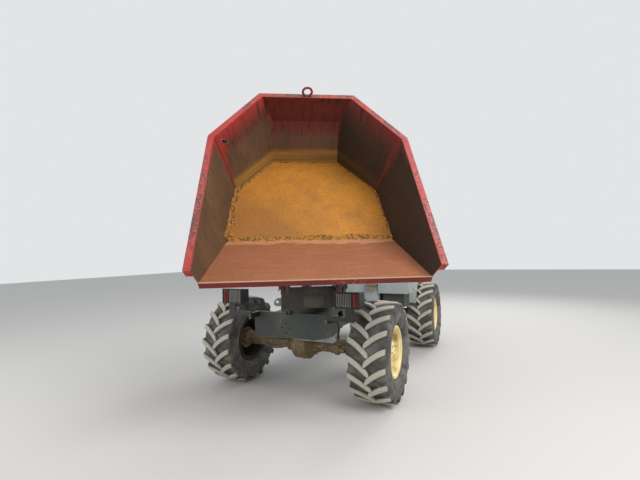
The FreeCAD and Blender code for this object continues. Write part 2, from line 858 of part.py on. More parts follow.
# Turret and tip ram
def make_turret():
    """Make the slewing frame, with the skip hinge ahead and the ram's lugs behind, in its own frame."""
    half, side_plate = D.turret_half_width, D.turret_plate
    low, top = D.turret_bottom, D.turret_box_top
    front, rear = -D.turret_front, D.turret_rear
    hinge_y, hinge_z, boss = -D.hinge_reach, D.hinge_height, D.hinge_boss_radius
    pieces = [block((-half, front, low), (half, rear, low + D.turret_base_thickness)),
              block((-half, front, low), (half, front + side_plate, top)),
              rod(D.slew_ring_radius, (0.0, 0.0, low - D.slew_ring_height), UP, D.slew_ring_height)]
    cheek = [(front, low), (rear, low), (rear, low + D.turret_tail_height),
             (-D.turret_slope_end, top - side_plate),
             (-D.turret_slope_start, hinge_z + boss * 0.9), (hinge_y + side_plate, hinge_z + boss),
             (hinge_y - boss, hinge_z), (hinge_y, hinge_z - boss), (front - D.turret_tail_height / 2,
                                                                    hinge_z - boss),
             (front, top)]
    entry = D.arm_offset - D.arm_plate / 2 - D.hinge_pin_entry
    for side in SIDES:
        start = beside(side, half - side_plate, side_plate)
        pieces.append(slab("YZ_Plane", cheek, start, side_plate))
        pieces.append(rod(boss, (start, hinge_y, hinge_z), ACROSS, side_plate))
        length = half + D.hinge_pin_head - entry
        pieces.append(rod(D.hinge_pin_radius, (beside(side, entry, length), hinge_y, hinge_z), ACROSS,
                          length))
    base_y, base_z = D.ram_base_reach, D.ram_base_height
    foot, head = D.ram_base_lug_foot, D.ram_base_lug_head
    ear = [(base_y - foot, low), (base_y + foot, low), (base_y + head, base_z + head),
           (base_y - head, base_z + head)]
    gap = D.ram_eye_width / 2 + D.working_clearance
    for side in SIDES:
        pieces.append(slab("YZ_Plane", ear, beside(side, gap, D.ram_base_lug_plate), D.ram_base_lug_plate,
                           (head * 0.9, (2, 3))))
    reach = gap + D.ram_base_lug_plate + D.hinge_pin_head
    pieces.append(rod(D.ram_pin_radius, (-reach, base_y, base_z), ACROSS, reach * 2))
    pieces.append(tie_eye(half, low))
    node("turret", joined(*pieces), turret_placement())


def tie_eye(half, low):
    """Make the pale tie-down eye that stands out from the turret's right cheek."""
    wide, high = D.tie_eye_width, D.tie_eye_height
    points = [(-half, low), (-half, low + high), (-half - wide * 0.6, low + high),
              (-half - wide, low + high * 0.6),
              (-half - wide, low + high * 0.25), (-half - wide * 0.7, low)]
    leaf = slab("XZ_Plane", points, -D.tie_eye_reach, D.tie_eye_plate)
    hole = rod(D.tie_eye_hole, (-half - wide * 0.55, -D.tie_eye_reach - 1, low + high * 0.55), (0, 1, 0),
               D.tie_eye_plate + 2)
    return without(leaf, hole)


def ram_ends():
    """Give the tip ram's base pin and rod eye in the turret's own frame."""
    base = Vector(0, D.ram_base_reach, D.ram_base_height)
    lug = skip_placement().multVec(Vector(0, -D.ram_lug_reach, -D.ram_lug_drop))
    return base, turret_placement().inverse().multVec(lug)


class Ram:
    """A ram between two pins: a barrel with its gland and base eye, and a rod with its eye."""

    def __init__(self, prefix, start, end, cross):
        for part in ("barrel_radius", "barrel_length", "gland_radius", "gland_length", "rod_radius",
                     "rod_length",
                     "eye_radius", "eye_width", "pin_radius"):
            setattr(self, part, getattr(D, f"{prefix}_{part}"))
        self.start, self.end, self.cross = start, end, cross
        self.line = (end - start).normalize()

    def point(self, distance):
        """Give the point at a distance from the base pin."""
        return tuple(self.start + self.line * float(distance))

    def eye(self, pin):
        """Give the round eye about a pin."""
        return rod(self.eye_radius, tuple(pin - self.cross * (self.eye_width / 2)), self.cross,
                   self.eye_width)

    def barrel(self):
        """Make the barrel, open at its gland."""
        neck = self.eye_radius + D.deck_rise
        pieces = [rod(self.barrel_radius, self.point(neck), self.line, self.barrel_length - neck),
                  rod(self.gland_radius, self.point(self.barrel_length - self.gland_length), self.line,
                      self.gland_length),
                  rod(self.eye_width * 0.42, tuple(self.start), self.line, neck + 1), self.eye(self.start)]
        pin_at = tuple(self.start - self.cross * float(self.eye_width))
        bores = [rod(self.rod_radius + D.running_clearance, self.point(neck + D.rim_wall), self.line,
                     self.barrel_length),
                 rod(self.pin_radius + D.running_clearance, pin_at, self.cross, self.eye_width * 2)]
        return without(joined(*pieces), *bores)

    def rod_piece(self):
        """Make the rod with its eye."""
        reach = (self.end - self.start).Length
        return joined(rod(self.rod_radius, self.point(reach - self.rod_length), self.line, self.rod_length),
                      self.eye(self.end))


def make_tip_ram():
    """Make the tip ram between the turret and the skip, in the turret's frame."""
    ram = Ram("ram", *ram_ends(), Vector(*ACROSS))
    node("tip_ram_barrel", ram.barrel(), turret_placement())
    node("tip_ram_rod", ram.rod_piece(), turret_placement())


# Wheels and axles
WHEELS = (
    # name, side across the machine, place along it
    ("front_left", LEFT, 0.0),
    ("front_right", RIGHT, 0.0),
    ("rear_left", LEFT, D.wheelbase),
    ("rear_right", RIGHT, D.wheelbase),
)


def tyre_shape():
    """Give the lugged tyre about the X axis, as flat faces worked out pitch by pitch.

    Each lug starts past the middle, bends at lug_bend and fades into the sidewall. Lugs of the two halves
    stand half a pitch apart, and both halves share the zigzag line round the lugs' noses.
    """
    pitch = 360.0 / LUGS
    flat = 360.0 / RIM_FLATS
    top = float(D.tyre_radius)
    groove = top - float(D.groove_depth)
    edge = float(D.tread_edge)
    drop = float(D.shoulder_drop)

    def point(degrees, across, radius):
        angle = math.radians(degrees)
        return Vector(across, -radius * math.cos(angle), radius * math.sin(angle))

    def station(middle, hand, across, foot_radius, top_radius, share):
        """Give a lug's four corners across its width: foot, top, top, foot."""
        foot = math.degrees(D.lug_foot_width / 2 / groove) * share
        crest = math.degrees(D.lug_width / 2 / top) * share
        turns = ((-foot, foot_radius), (-crest, top_radius), (crest, top_radius), (foot, foot_radius))
        return [point(middle + turn, hand * across, radius) for turn, radius in turns]

    def quads(one, two):
        """Join two lines of points by triangles."""
        made = []
        for i in range(len(one) - 1):
            made.append((one[i], one[i + 1], two[i + 1]))
            made.append((one[i], two[i + 1], two[i]))
        return made

    def half_tyre(hand, offset):
        """Give the faces of one half: its lugs' noses stand at offset, the other half's half a pitch away."""
        made = []
        nose_at = -float(D.lug_overlap)
        wide = math.degrees(D.lug_foot_width / 2 / groove)
        half = float(D.tyre_width) / 2
        bead = float(D.rim_width) / 2 - float(D.flange_width)
        ring_at = [offset + pitch * k for k in range(LUGS + 1)]
        noses, bends, edges, toes, bulge, seats, beads = [], [], [], [], [], [], []
        for middle in ring_at:
            noses.append(station(middle, hand, nose_at, groove, top, 1.0))
            bends.append(station(middle + D.lug_sweep_bend, hand, D.lug_bend, groove, top, 1.0))
            at = middle + D.lug_sweep_edge
            edges.append(station(at, hand, edge, groove - drop, top - drop, 0.92))
            toes.append([point(at + turn, hand * half * 0.985, D.shoulder_radius) for turn in (-wide, wide)])
            first = round(at / flat) * flat
            flats = [first, first + flat]
            bulge.append([point(turn, hand * half, D.tyre_bulge_radius) for turn in flats])
            seats.append([point(turn, hand * bead, D.flange_radius + 1) for turn in flats])
            beads.append([point(turn, hand * bead, D.bead_radius + D.seat_clearance) for turn in flats])
        for k in range(LUGS):
            nose, bend, rim, toe = noses[k], bends[k], edges[k], toes[k]
            made += [(nose[0], nose[1], nose[2]), (nose[0], nose[2], nose[3])]
            made += quads(nose, bend) + quads(bend, rim)
            made += [(rim[0], rim[1], toe[0]), (rim[2], rim[3], toe[1])]
            made += [(rim[1], rim[2], toe[1]), (rim[1], toe[1], toe[0])]
            made += quads([rim[3], edges[k + 1][0]], [toe[1], toes[k + 1][0]])
            made += quads([bend[3], bends[k + 1][0]], [rim[3], edges[k + 1][0]])
            other = station(ring_at[k] + pitch / 2, -hand, nose_at, groove, top, 1.0)
            inner = [nose[3], other[0], other[3], noses[k + 1][0]]
            outer = [bend[3], bends[k + 1][0]]
            made += [(inner[0], inner[1], outer[0]), (inner[1], inner[2], outer[0]),
                     (inner[2], outer[1], outer[0]), (inner[2], inner[3], outer[1])]
            made += [(toe[0], toe[1], bulge[k][0]), (toe[1], bulge[k][1], bulge[k][0]),
                     (toe[1], toes[k + 1][0], bulge[k][1]), (toes[k + 1][0], bulge[k + 1][0], bulge[k][1])]
            for one, two in ((bulge, seats), (seats, beads)):
                made += quads([one[k][0], one[k][1], one[k + 1][0]], [two[k][0], two[k][1], two[k + 1][0]])
        return made, beads

    crest = math.degrees(D.lug_width / 2 / top)
    phase = -90.0 - float(D.lug_sweep_bend) - crest
    left, left_beads = half_tyre(LEFT, phase)
    right, right_beads = half_tyre(RIGHT, phase + pitch / 2)
    left_ring = [p for pair in left_beads[:LUGS] for p in pair]
    right_ring = [p for pair in right_beads[:LUGS] for p in pair]
    right_ring = right_ring[-1:] + right_ring[:-1]
    return solid_of(left + right + quads(left_ring + left_ring[:1], right_ring + right_ring[:1]))


def rim_profile():
    """Give the rim's outline as (radius, place along the axis, outwards positive)."""
    half = float(D.rim_width) / 2
    bead, flange = float(D.bead_radius), float(D.flange_radius)
    well = bead - float(D.rim_wall)
    seat = half - float(D.flange_width)
    inset = half - float(D.disc_inset)
    face, back = float(D.disc_face), float(D.disc_face - D.disc_thickness)
    cap = face + float(D.hub_length)
    return [(flange, -half), (bead, -seat), (bead, seat), (flange, half), (well, half), (well, inset),
            (float(D.disc_flat_radius), face), (float(D.hub_radius), face),
            (float(D.hub_radius), cap - float(D.hub_cap_chamfer)),
            (float(D.hub_cap_radius), cap)], [(well, -half), (well, back)]


def rim_shape():
    """Give the rim about the X axis: flanges, seats, dished disc and hub cap, with the tyre's flats."""
    outer, inner = rim_profile()
    faces = []

    def ring(radius, across):
        made = []
        for flat in range(RIM_FLATS):
            angle = 2 * math.pi * flat / RIM_FLATS
            made.append(Vector(across, -radius * math.cos(angle), radius * math.sin(angle)))
        return made

    path = [ring(r, x) for r, x in inner[::-1] + outer]
    for one, two in zip(path, path[1:]):
        for i in range(RIM_FLATS):
            k = (i + 1) % RIM_FLATS
            faces.append((one[i], one[k], two[k], two[i]))
    faces += [tuple(path[0]), tuple(path[-1])]
    return solid_of(faces)


def make_wheels():
    """Make the four tyres and rims, with each dish facing outwards."""
    tyre = tyre_shape()
    rim = rim_shape()
    for name, side, y in WHEELS:
        hub = Vector(lateral(D.track / 2 * side), along(y), D.tyre_radius)
        node(f"tyre_{name}", shaped(tyre), Placement(hub, Rotation()))
        node(f"rim_{name}", shaped(rim), Placement(hub, Rotation(Vector(*UP), 0 if side == LEFT else 180)))


def make_axle(name, y, nose):
    """Make one axle as a turned casting: banjo, tapering arms, hub reductions and the drive's nose."""
    face = D.track / 2 + D.disc_face - D.disc_thickness - D.seat_clearance
    tube, flange, neck = D.axle_tube_radius, D.axle_flange_radius, D.axle_neck_radius
    hub = face - D.axle_hub_length
    half_outline = [(D.banjo_radius, D.banjo_half_width), (tube, D.banjo_shoulder),
                    (tube, hub - D.axle_neck_length), (neck, hub - D.axle_neck_length / 2), (neck, hub),
                    (flange, hub), (flange, face), (0.0, face)]
    mirrored = [(radius, -height) for radius, height in half_outline[::-1]]
    casting = turned(mirrored + half_outline, (lateral(0.0), along(y), D.tyre_radius), ACROSS)
    stem = rod(D.banjo_nose_radius, (lateral(0.0), along(y), D.tyre_radius), (0, nose, 0),
               D.banjo_radius + D.banjo_nose_length)
    node(name, joined(casting, stem))


# Front unit
def make_front_chassis():
    """Make the front frame: side plates with axle saddles, top and bottom plates, and the steering yoke."""
    half, wall = D.chassis_half_width, D.chassis_plate
    bottom, top = D.chassis_bottom, D.chassis_top
    front = along(D.front_plate_thickness - D.front_plate_face)
    end, pivot = along(D.chassis_rear), along(D.pivot_y)
    boss, leaf = D.pivot_boss_radius, D.pivot_plate_thickness
    lower_front = along(D.banjo_radius + D.working_clearance)
    parts = []
    for start, z in ((front, top - leaf), (lower_front, bottom)):
        parts.append(slab("XY_Plane", [(lateral(-half), start), (lateral(half), start), (lateral(half), end),
                                       (lateral(boss), pivot), (lateral(-boss), pivot),
                                       (lateral(-half), end)],
                          z, leaf))
        parts.append(rod(boss, (lateral(0.0), pivot, z), UP, leaf))
    saddle, slope = D.saddle_half_length, D.saddle_slope
    cheek = [(front, bottom), (along(-saddle - slope), bottom), (along(-saddle), D.axle_seat),
             (along(saddle), D.axle_seat), (along(saddle + slope), bottom), (end, bottom), (end, top),
             (front, top)]
    pad = [(along(-saddle), D.axle_seat), (along(saddle), D.axle_seat), (along(saddle), bottom + leaf),
           (along(-saddle), bottom + leaf)]
    window_low, window_high = bottom + D.window_margin, top - D.window_margin
    for side in SIDES:
        sheet_plate = slab("YZ_Plane", cheek, lateral(beside(side, half - wall, wall)), wall)
        windows = []
        for number in range(2):
            y = D.window_front + D.window_pitch * number
            cut = D.window_length / 5
            windows.append(slab("YZ_Plane", [
                (along(y + cut), window_low), (along(y + D.window_length - cut), window_low),
                (along(y + D.window_length), (window_low + window_high) / 2),
                (along(y + D.window_length - cut), window_high), (along(y + cut), window_high),
                (along(y), (window_low + window_high) / 2)], lateral(beside(side, half - wall, wall)) - 1,
                wall + 2))
        parts.append(without(sheet_plate, *windows))
        inner = half - D.saddle_pad_width
        parts.append(slab("YZ_Plane", pad, lateral(beside(side, inner, D.saddle_pad_width)),
                          D.saddle_pad_width))
    parts.append(block((lateral(-half), end - wall, bottom), (lateral(half), end, top)))
    parts.append(rod(D.slew_ring_radius, (lateral(0.0), along(D.slew_axis_y), top), UP,
                     D.turret_bottom - D.slew_ring_height - D.seat_clearance - top))
    parts += steer_lug_on_front()
    pin_hole = rod(D.pivot_pin_radius, (lateral(0.0), pivot, bottom), UP, top - bottom)
    node("front_chassis", without(joined(*parts), pin_hole))
    node("articulation_pin", rod(D.pivot_pin_radius, (lateral(0.0), pivot, bottom), UP, top - bottom))


def steer_lug_on_front():
    """Make the pair of lugs beside the yoke that the steering ram's rod reaches for."""
    parts = []
    gap = D.steer_lug_gap / 2
    inner, tip = D.pivot_boss_radius - D.rim_wall, D.steer_eye_x + D.steer_eye_radius
    for side in SIDES:
        z = D.steer_height + gap if side == LEFT else D.steer_height - gap - D.steer_lug_plate
        points = [(lateral(inner), along(D.steer_eye_y - D.steer_eye_radius * 2)),
                  (lateral(tip), along(D.steer_eye_y - D.steer_eye_radius)),
                  (lateral(tip), along(D.steer_eye_y + D.steer_eye_radius)),
                  (lateral(inner), along(D.steer_eye_y + D.steer_eye_radius))]
        parts.append(slab("XY_Plane", points, z, D.steer_lug_plate, (D.steer_eye_radius * 0.8, (1, 2))))
    web = D.yoke_length / 2
    web_low = min(D.chassis_bottom, D.steer_height - gap - D.steer_lug_plate)
    parts.append(block((lateral(D.pivot_boss_radius - D.chassis_plate * 1.5), along(D.pivot_y) - web,
                        web_low),
                       (lateral(D.pivot_boss_radius + D.chassis_plate / 2), along(D.pivot_y) - web / 2,
                        D.chassis_top)))
    return parts


def make_front_plate():
    """Make the deep plate across the front, with its clevis and the four-hole circle."""
    half, corner = D.front_plate_half_width, D.front_plate_corner
    top, bottom = D.chassis_top, D.chassis_bottom - D.front_plate_drop
    face, thick = along(-D.front_plate_face), D.front_plate_thickness
    parts = [slab("XZ_Plane", [(lateral(-half), bottom + corner), (lateral(-half + corner * 1.5), bottom),
                               (lateral(half - corner * 1.5), bottom), (lateral(half), bottom + corner),
                               (lateral(half), top), (lateral(-half), top)], face, thick)]
    inner = D.clevis_gap / 2
    tall = D.clevis_height
    for side in SIDES:
        start = lateral(D.clevis_x + beside(side, inner, D.clevis_ear))
        parts.append(slab("YZ_Plane", [(face - thick, top), (face, top - tall / 2), (face, top + tall / 2),
                                       (face - thick, top + tall / 2)], start, D.clevis_ear,
                          (thick * 0.4, (3,))))
    parts.append(rod(D.clevis_ear * 0.6, (lateral(D.clevis_x - inner - D.clevis_ear), face - thick * 0.55,
                                          top + tall * 0.24), ACROSS, (inner + D.clevis_ear) * 2))
    holes = []
    centre_z = top - D.bolt_circle_drop
    for across, up in ((1, 0), (0, 1), (-1, 0), (0, -1)):
        holes.append(rod(D.bolt_hole_radius, (lateral(D.bolt_circle_x + D.bolt_circle / 2 * across),
                                              face - 1,
                                              centre_z + D.bolt_circle / 2 * up), (0, 1, 0), thick + 2))
    node("front_plate", without(joined(*parts), *holes))


def make_lamps():
    """Make the two front lamp clusters on their brackets: a housing with a wide and a narrow lens pocket."""
    parts = []
    face = along(-D.lamp_face)
    bar, wall, recess = D.chassis_top, D.lamp_wall, D.lens_recess
    low, high = D.lamp_bottom, D.lamp_bottom + D.lamp_height
    for side in SIDES:
        inner = D.lamp_inner
        box = slab("YZ_Plane", [(face, low), (face + D.lamp_depth, low + wall),
                                (face + D.lamp_depth, high - wall),
                                (face, high)], lateral(beside(side, inner, D.lamp_width)), D.lamp_width)
        pockets = []
        split = D.lamp_width - D.side_lens_width
        # start from the machine's middle, width
        for start, width in ((inner + wall, split - wall),
                             (inner + split + wall / 2, D.side_lens_width - wall * 1.5)):
            x = lateral(beside(side, start, width))
            pockets.append(block((x, face - 1, low + wall), (x + width, face + recess, high - wall)))
        stub_in = D.front_plate_half_width - D.lamp_stub_inset - D.lamp_stub_width
        x = lateral(beside(side, stub_in, D.lamp_stub_width))
        rear = face + D.lamp_stub_inset
        stub = block((x, rear, bar - D.lamp_stub_drop), (x + D.lamp_stub_width, along(-D.front_plate_face),
                                                         bar))
        reach = inner + D.lamp_width - D.lamp_post_inset
        x = lateral(beside(side, stub_in, reach - stub_in))
        drop = bar - D.lamp_stub_drop / 2
        arm = block((x, rear, drop), (x + reach - stub_in, rear + D.lamp_bar_thickness,
                                      bar + D.lamp_bar_thickness))
        x = lateral(beside(side, reach - D.lamp_post_width, D.lamp_post_width))
        post = block((x, rear, drop), (x + D.lamp_post_width, rear + D.lamp_bar_thickness, low + wall))
        parts.append(joined(without(box, *pockets), stub, arm, post))
    node("front_lamps", grouped(*parts))


# Rear unit
def make_rear_chassis():
    """Make the rear frame: pivot tube, tongue, rails, cross members, tank pedestals and rear plate."""
    gap = D.working_clearance
    low = D.chassis_bottom + D.pivot_plate_thickness + gap
    high = D.chassis_top - D.pivot_plate_thickness - gap
    tongue, inner, width = D.tongue_half_width, D.rail_offset, D.rail_width
    outer, member = inner + width, D.cross_member
    start, end = along(D.rail_front), along(D.rear_end)
    parts = [rod(D.pivot_tube_radius, (lateral(0.0), along(D.pivot_y), low), UP, high - low),
             slab("XY_Plane", [(lateral(-tongue), along(D.pivot_y)), (lateral(tongue), along(D.pivot_y)),
                               (lateral(tongue * 1.6), start), (lateral(-tongue * 1.6), start)], low,
                               high - low),
             block((lateral(-outer), start, low), (lateral(outer), start + member, high))]
    plate_at = end - D.rear_plate_thickness
    saddle = D.saddle_half_length - gap
    rail = [(start, low), (start + member * 2, D.rail_bottom), (along(D.wheelbase - saddle) - D.saddle_slope,
                                                                D.rail_bottom),
            (along(D.wheelbase - saddle), D.axle_seat), (along(D.wheelbase + saddle), D.axle_seat),
            (along(D.wheelbase + saddle) + D.saddle_slope, D.rail_bottom), (plate_at, D.rail_bottom),
            (plate_at, D.rail_top), (start, D.rail_top)]
    for side in SIDES:
        parts.append(slab("YZ_Plane", rail, lateral(beside(side, inner, width)), width))
    engine_rear = D.engine_front + D.engine_length
    for y in (D.deck_rear - member, D.engine_front - member - gap * 2, engine_rear - member * 2):
        parts.append(block((lateral(-inner), along(y), D.rail_bottom + member / 3),
                           (lateral(inner), along(y) + member, D.engine_bottom)))
    reach = D.tank_inner + D.tank_width - D.pedestal_inset
    under = D.rail_top - D.bracket_width
    for y in (D.tank_front + member * 1.6, D.tank_rear - member * 1.5):
        parts.append(block((lateral(-reach), along(y), under), (lateral(reach), along(y) + member,
                                                                D.deck_height - D.deck_thickness)))
    for side in SIDES:
        pedestal = reach - D.deck_half_width
        x = lateral(beside(side, D.deck_half_width, pedestal))
        parts.append(block((x, along(D.tank_front + member), under),
                           (x + pedestal, along(D.tank_rear) - member / 3, D.tank_bottom)))
        arm = D.deck_half_width - outer
        x = lateral(beside(side, outer, arm))
        for y in (D.wheelbase - D.mudguard_flat - D.bracket_width,
                  D.wheelbase + D.mudguard_flat - D.bracket_width / 2):
            parts.append(block((x, along(y), D.rail_top - D.bracket_height * 1.75),
                               (x + arm, along(y) + D.bracket_width, D.rail_top - D.bracket_height * 0.75)))
    parts.append(slab("XZ_Plane", rear_plate_outline(), plate_at, D.rear_plate_thickness))
    parts += steer_base_lugs(outer) + bonnet_hinge_lugs()
    hole = rod(D.pivot_pin_radius + D.running_clearance, (lateral(0.0), along(D.pivot_y), low), UP,
               high - low)
    node("rear_chassis", without(joined(*parts), hole))


def rear_plate_outline():
    """Give the rear plate's outline, with its lower corners cut back."""
    half, low, high = D.rear_plate_half_width, D.rail_bottom - D.rear_plate_drop, D.deck_height
    cut = D.rear_plate_drop
    return [(lateral(-half), low + cut), (lateral(-half + cut), low), (lateral(half - cut), low),
            (lateral(half), low + cut), (lateral(half), high), (lateral(-half), high)]


def steer_base_lugs(outer):
    """Make the lugs and pin on the left rail that carry the steering ram's barrel."""
    parts = []
    half = D.steer_lug_gap / 2
    eye = D.steer_eye_radius
    for side in SIDES:
        z = D.steer_height + half if side == LEFT else D.steer_height - half - D.steer_lug_plate
        points = [(lateral(outer - 5), along(D.steer_base_y - eye * 2)),
                  (lateral(D.steer_base_x + eye), along(D.steer_base_y - eye)),
                  (lateral(D.steer_base_x + eye), along(D.steer_base_y + eye)),
                  (lateral(outer - 5), along(D.steer_base_y + eye * 2))]
        parts.append(slab("XY_Plane", points, z, D.steer_lug_plate, (eye * 0.8, (1, 2))))
    reach = half + D.steer_lug_plate * 1.5
    pad_low = min(D.steer_height - reach, D.rail_top - eye * 2)
    pad_high = max(D.steer_height + reach, D.rail_bottom + eye * 2)
    parts.append(block((lateral(outer), along(D.steer_base_y - eye * 2), pad_low),
                       (lateral(outer + D.steer_lug_plate), along(D.steer_base_y + eye * 2), pad_high)))
    parts.append(rod(D.steer_pin_radius, (lateral(D.steer_base_x), along(D.steer_base_y),
                                          D.steer_height - reach), UP,
                     reach * 2))
    return parts


def bonnet_hinge_lugs():
    """Make the lugs and pins on the rear plate that the bonnet turns on."""
    parts = []
    y, z = along(D.bonnet_hinge_y), D.bonnet_hinge_height
    gap, thick, long = D.working_clearance / 2, D.bonnet_hinge_lug, D.bonnet_knuckle_length
    plate_at = along(D.rear_end) - D.rear_plate_thickness
    for side in SIDES:
        x = lateral(beside(side, D.bonnet_knuckle_x, long))
        for start in (x - gap - thick, x + long + gap):
            parts.append(block((start, plate_at, D.deck_height),
                               (start + thick, along(D.rear_end), z + D.bonnet_knuckle_radius)))
        parts.append(rod(D.bonnet_pin_radius, (x - gap - thick, y, z), ACROSS, long + (gap + thick) * 2))
    return parts


def make_steer_ram():
    """Make the steering ram between the rear frame and the front yoke."""
    start = Vector(lateral(D.steer_base_x), along(D.steer_base_y), D.steer_height)
    end = Vector(lateral(D.steer_eye_x), along(D.steer_eye_y), D.steer_height)
    ram = Ram("steer", start, end, Vector(*UP))
    node("steer_ram_barrel", ram.barrel())
    node("steer_ram_rod", ram.rod_piece())


def make_platform():
    """Make the driver's floor with its steps, the grey cowl ahead of it and the console."""
    half, floor = D.deck_half_width, D.deck_height
    front, thick = along(D.deck_front), D.deck_thickness
    node("deck", block((lateral(-half), front, floor - thick), (lateral(half), along(D.deck_rear), floor)))
    wall, cowl_half = D.cowl_plate, D.cowl_half_width
    panel = slab("YZ_Plane", [(front, floor), (front + wall, floor), (front + wall, D.cowl_top),
                              (front - D.cowl_lip, D.cowl_top), (front - D.cowl_lip, D.cowl_top - wall),
                              (front, D.cowl_top - wall)], lateral(-cowl_half), cowl_half * 2)
    wing = [(front, floor), (front + D.cowl_wing, floor),
            (front + D.cowl_wing, D.cowl_top - D.cowl_wing_drop),
            (front + D.cowl_wing / 3, D.cowl_top), (front, D.cowl_top)]
    wings = [slab("YZ_Plane", wing, lateral(beside(side, cowl_half - wall, wall)), wall) for side in SIDES]
    node("front_cowl", joined(panel, *wings))
    make_hoses(front)
    y, deep, slope = front + wall, D.console_depth, D.console_slope
    box = slab("YZ_Plane", [(y, floor), (y + deep * 0.8, floor), (y + deep, floor + D.console_height / 2),
                            (y + deep, D.console_top - slope), (y + deep - slope, D.console_top),
                            (y, D.console_top - slope / 3)], lateral(-D.console_width / 2), D.console_width,
               (D.rim_wall, (3, 4)))
    lean = math.radians(D.column_lean)
    line = Vector(0, math.sin(lean), math.cos(lean))
    foot = (lateral(0.0), y + deep - slope, D.console_top - slope * 4 / 3)
    column = rod(D.column_radius, foot, line, D.column_length)
    node("console", joined(box, column))
    make_steering_wheel(Vector(*[float(v) for v in foot]) + line * float(D.steering_wheel_rise), line)


def make_hoses(face):
    """Make the hoses that hang in nested loops from a manifold on the cowl's front face."""
    deep, bar, pitch = D.manifold_depth, D.hose_radius, D.hose_pitch
    centre = Vector(lateral(D.hose_x), face - deep / 2, D.deck_height + D.hose_rise)
    half = D.hose_loop_radius + bar * 2
    solid = Part.makeBox(half * 2, deep, D.manifold_height, Vector(centre.x - half, face - deep, centre.z))
    lean = math.radians(D.hose_lean)
    above = Vector(0, math.sin(lean), math.cos(lean))
    entry = float(D.hose_entry_angle)
    for number in range(3):
        radius = float(D.hose_loop_radius - pitch * number)
        solid = solid.fuse(bent_bar(centre, Vector(*ACROSS), above, radius, float(bar), 180.0 - entry,
                                    360.0 + entry,
                                    8, 6))
    node("hydraulic_hoses", shaped(solid))


def make_steering_wheel(centre, line):
    """Make the steering wheel: a bent bar, a hub and three flat spokes."""
    across = Vector(*ACROSS)
    above = line.cross(across)
    radius, bar = float(D.steering_wheel_radius), float(D.steering_wheel_tube)
    ring = bent_bar(centre, across, above, radius, bar, 0.0, 360.0, 24, 6)
    flat = float(D.spoke_thickness)
    pieces = [Part.makeCylinder(float(D.steering_hub_radius), bar * 2, centre - line * bar, line)]
    for angle in (90.0, 210.0, 330.0):
        turn = Rotation(line, angle)
        spoke = Part.makeBox(radius, float(D.spoke_width), flat, Vector(0, -D.spoke_width / 2, -flat / 2))
        spoke.Placement = Placement(centre, turn * Rotation(across, above, line))
        pieces.append(spoke)
    node("steering_wheel", shaped(ring.multiFuse(pieces)))


def make_seat():
    """Make the seat box, cushion and back."""
    half = D.seat_width / 2
    front = along(D.deck_rear)
    box_half, rear = half - D.seat_base_inset, front + D.seat_depth - D.seat_overhang * 2.25
    low, high, taper = D.rail_top, D.seat_base_top, D.seat_base_taper
    node("seat_base", slab("YZ_Plane", [(front, low), (rear, low), (rear, high), (front + taper / 2, high),
                                        (front, high - taper)], lateral(-box_half), box_half * 2))
    top = high + D.seat_clearance
    start, thick, curve = front - D.seat_overhang, D.seat_cushion_thickness, D.seat_rounding
    end = start + D.seat_depth
    node("seat_cushion", slab("YZ_Plane", [(start, top + thick / 3), (start + thick / 3, top), (end, top),
                                           (end, top + thick), (start + thick, top + thick),
                                           (start, top + thick * 0.9)], lateral(-half), half * 2,
                              (curve * 0.6, (0, 5))))
    low = top + thick + D.seat_clearance
    back, lean = D.seat_back_thickness, D.seat_back_lean
    high = top + thick + D.seat_back_height
    end = end + D.seat_clearance
    node("seat_back", slab("YZ_Plane", [(end - back, low), (end, low), (end, high - lean),
                                        (end - back * 0.2, high),
                                        (end - back * 0.65, high),
                                        (end - back * 0.75, low + (high - low) / 2),
                                        (end - back, low + lean * 2)], lateral(-half), half * 2,
                           (back * 0.14, (3, 4))))


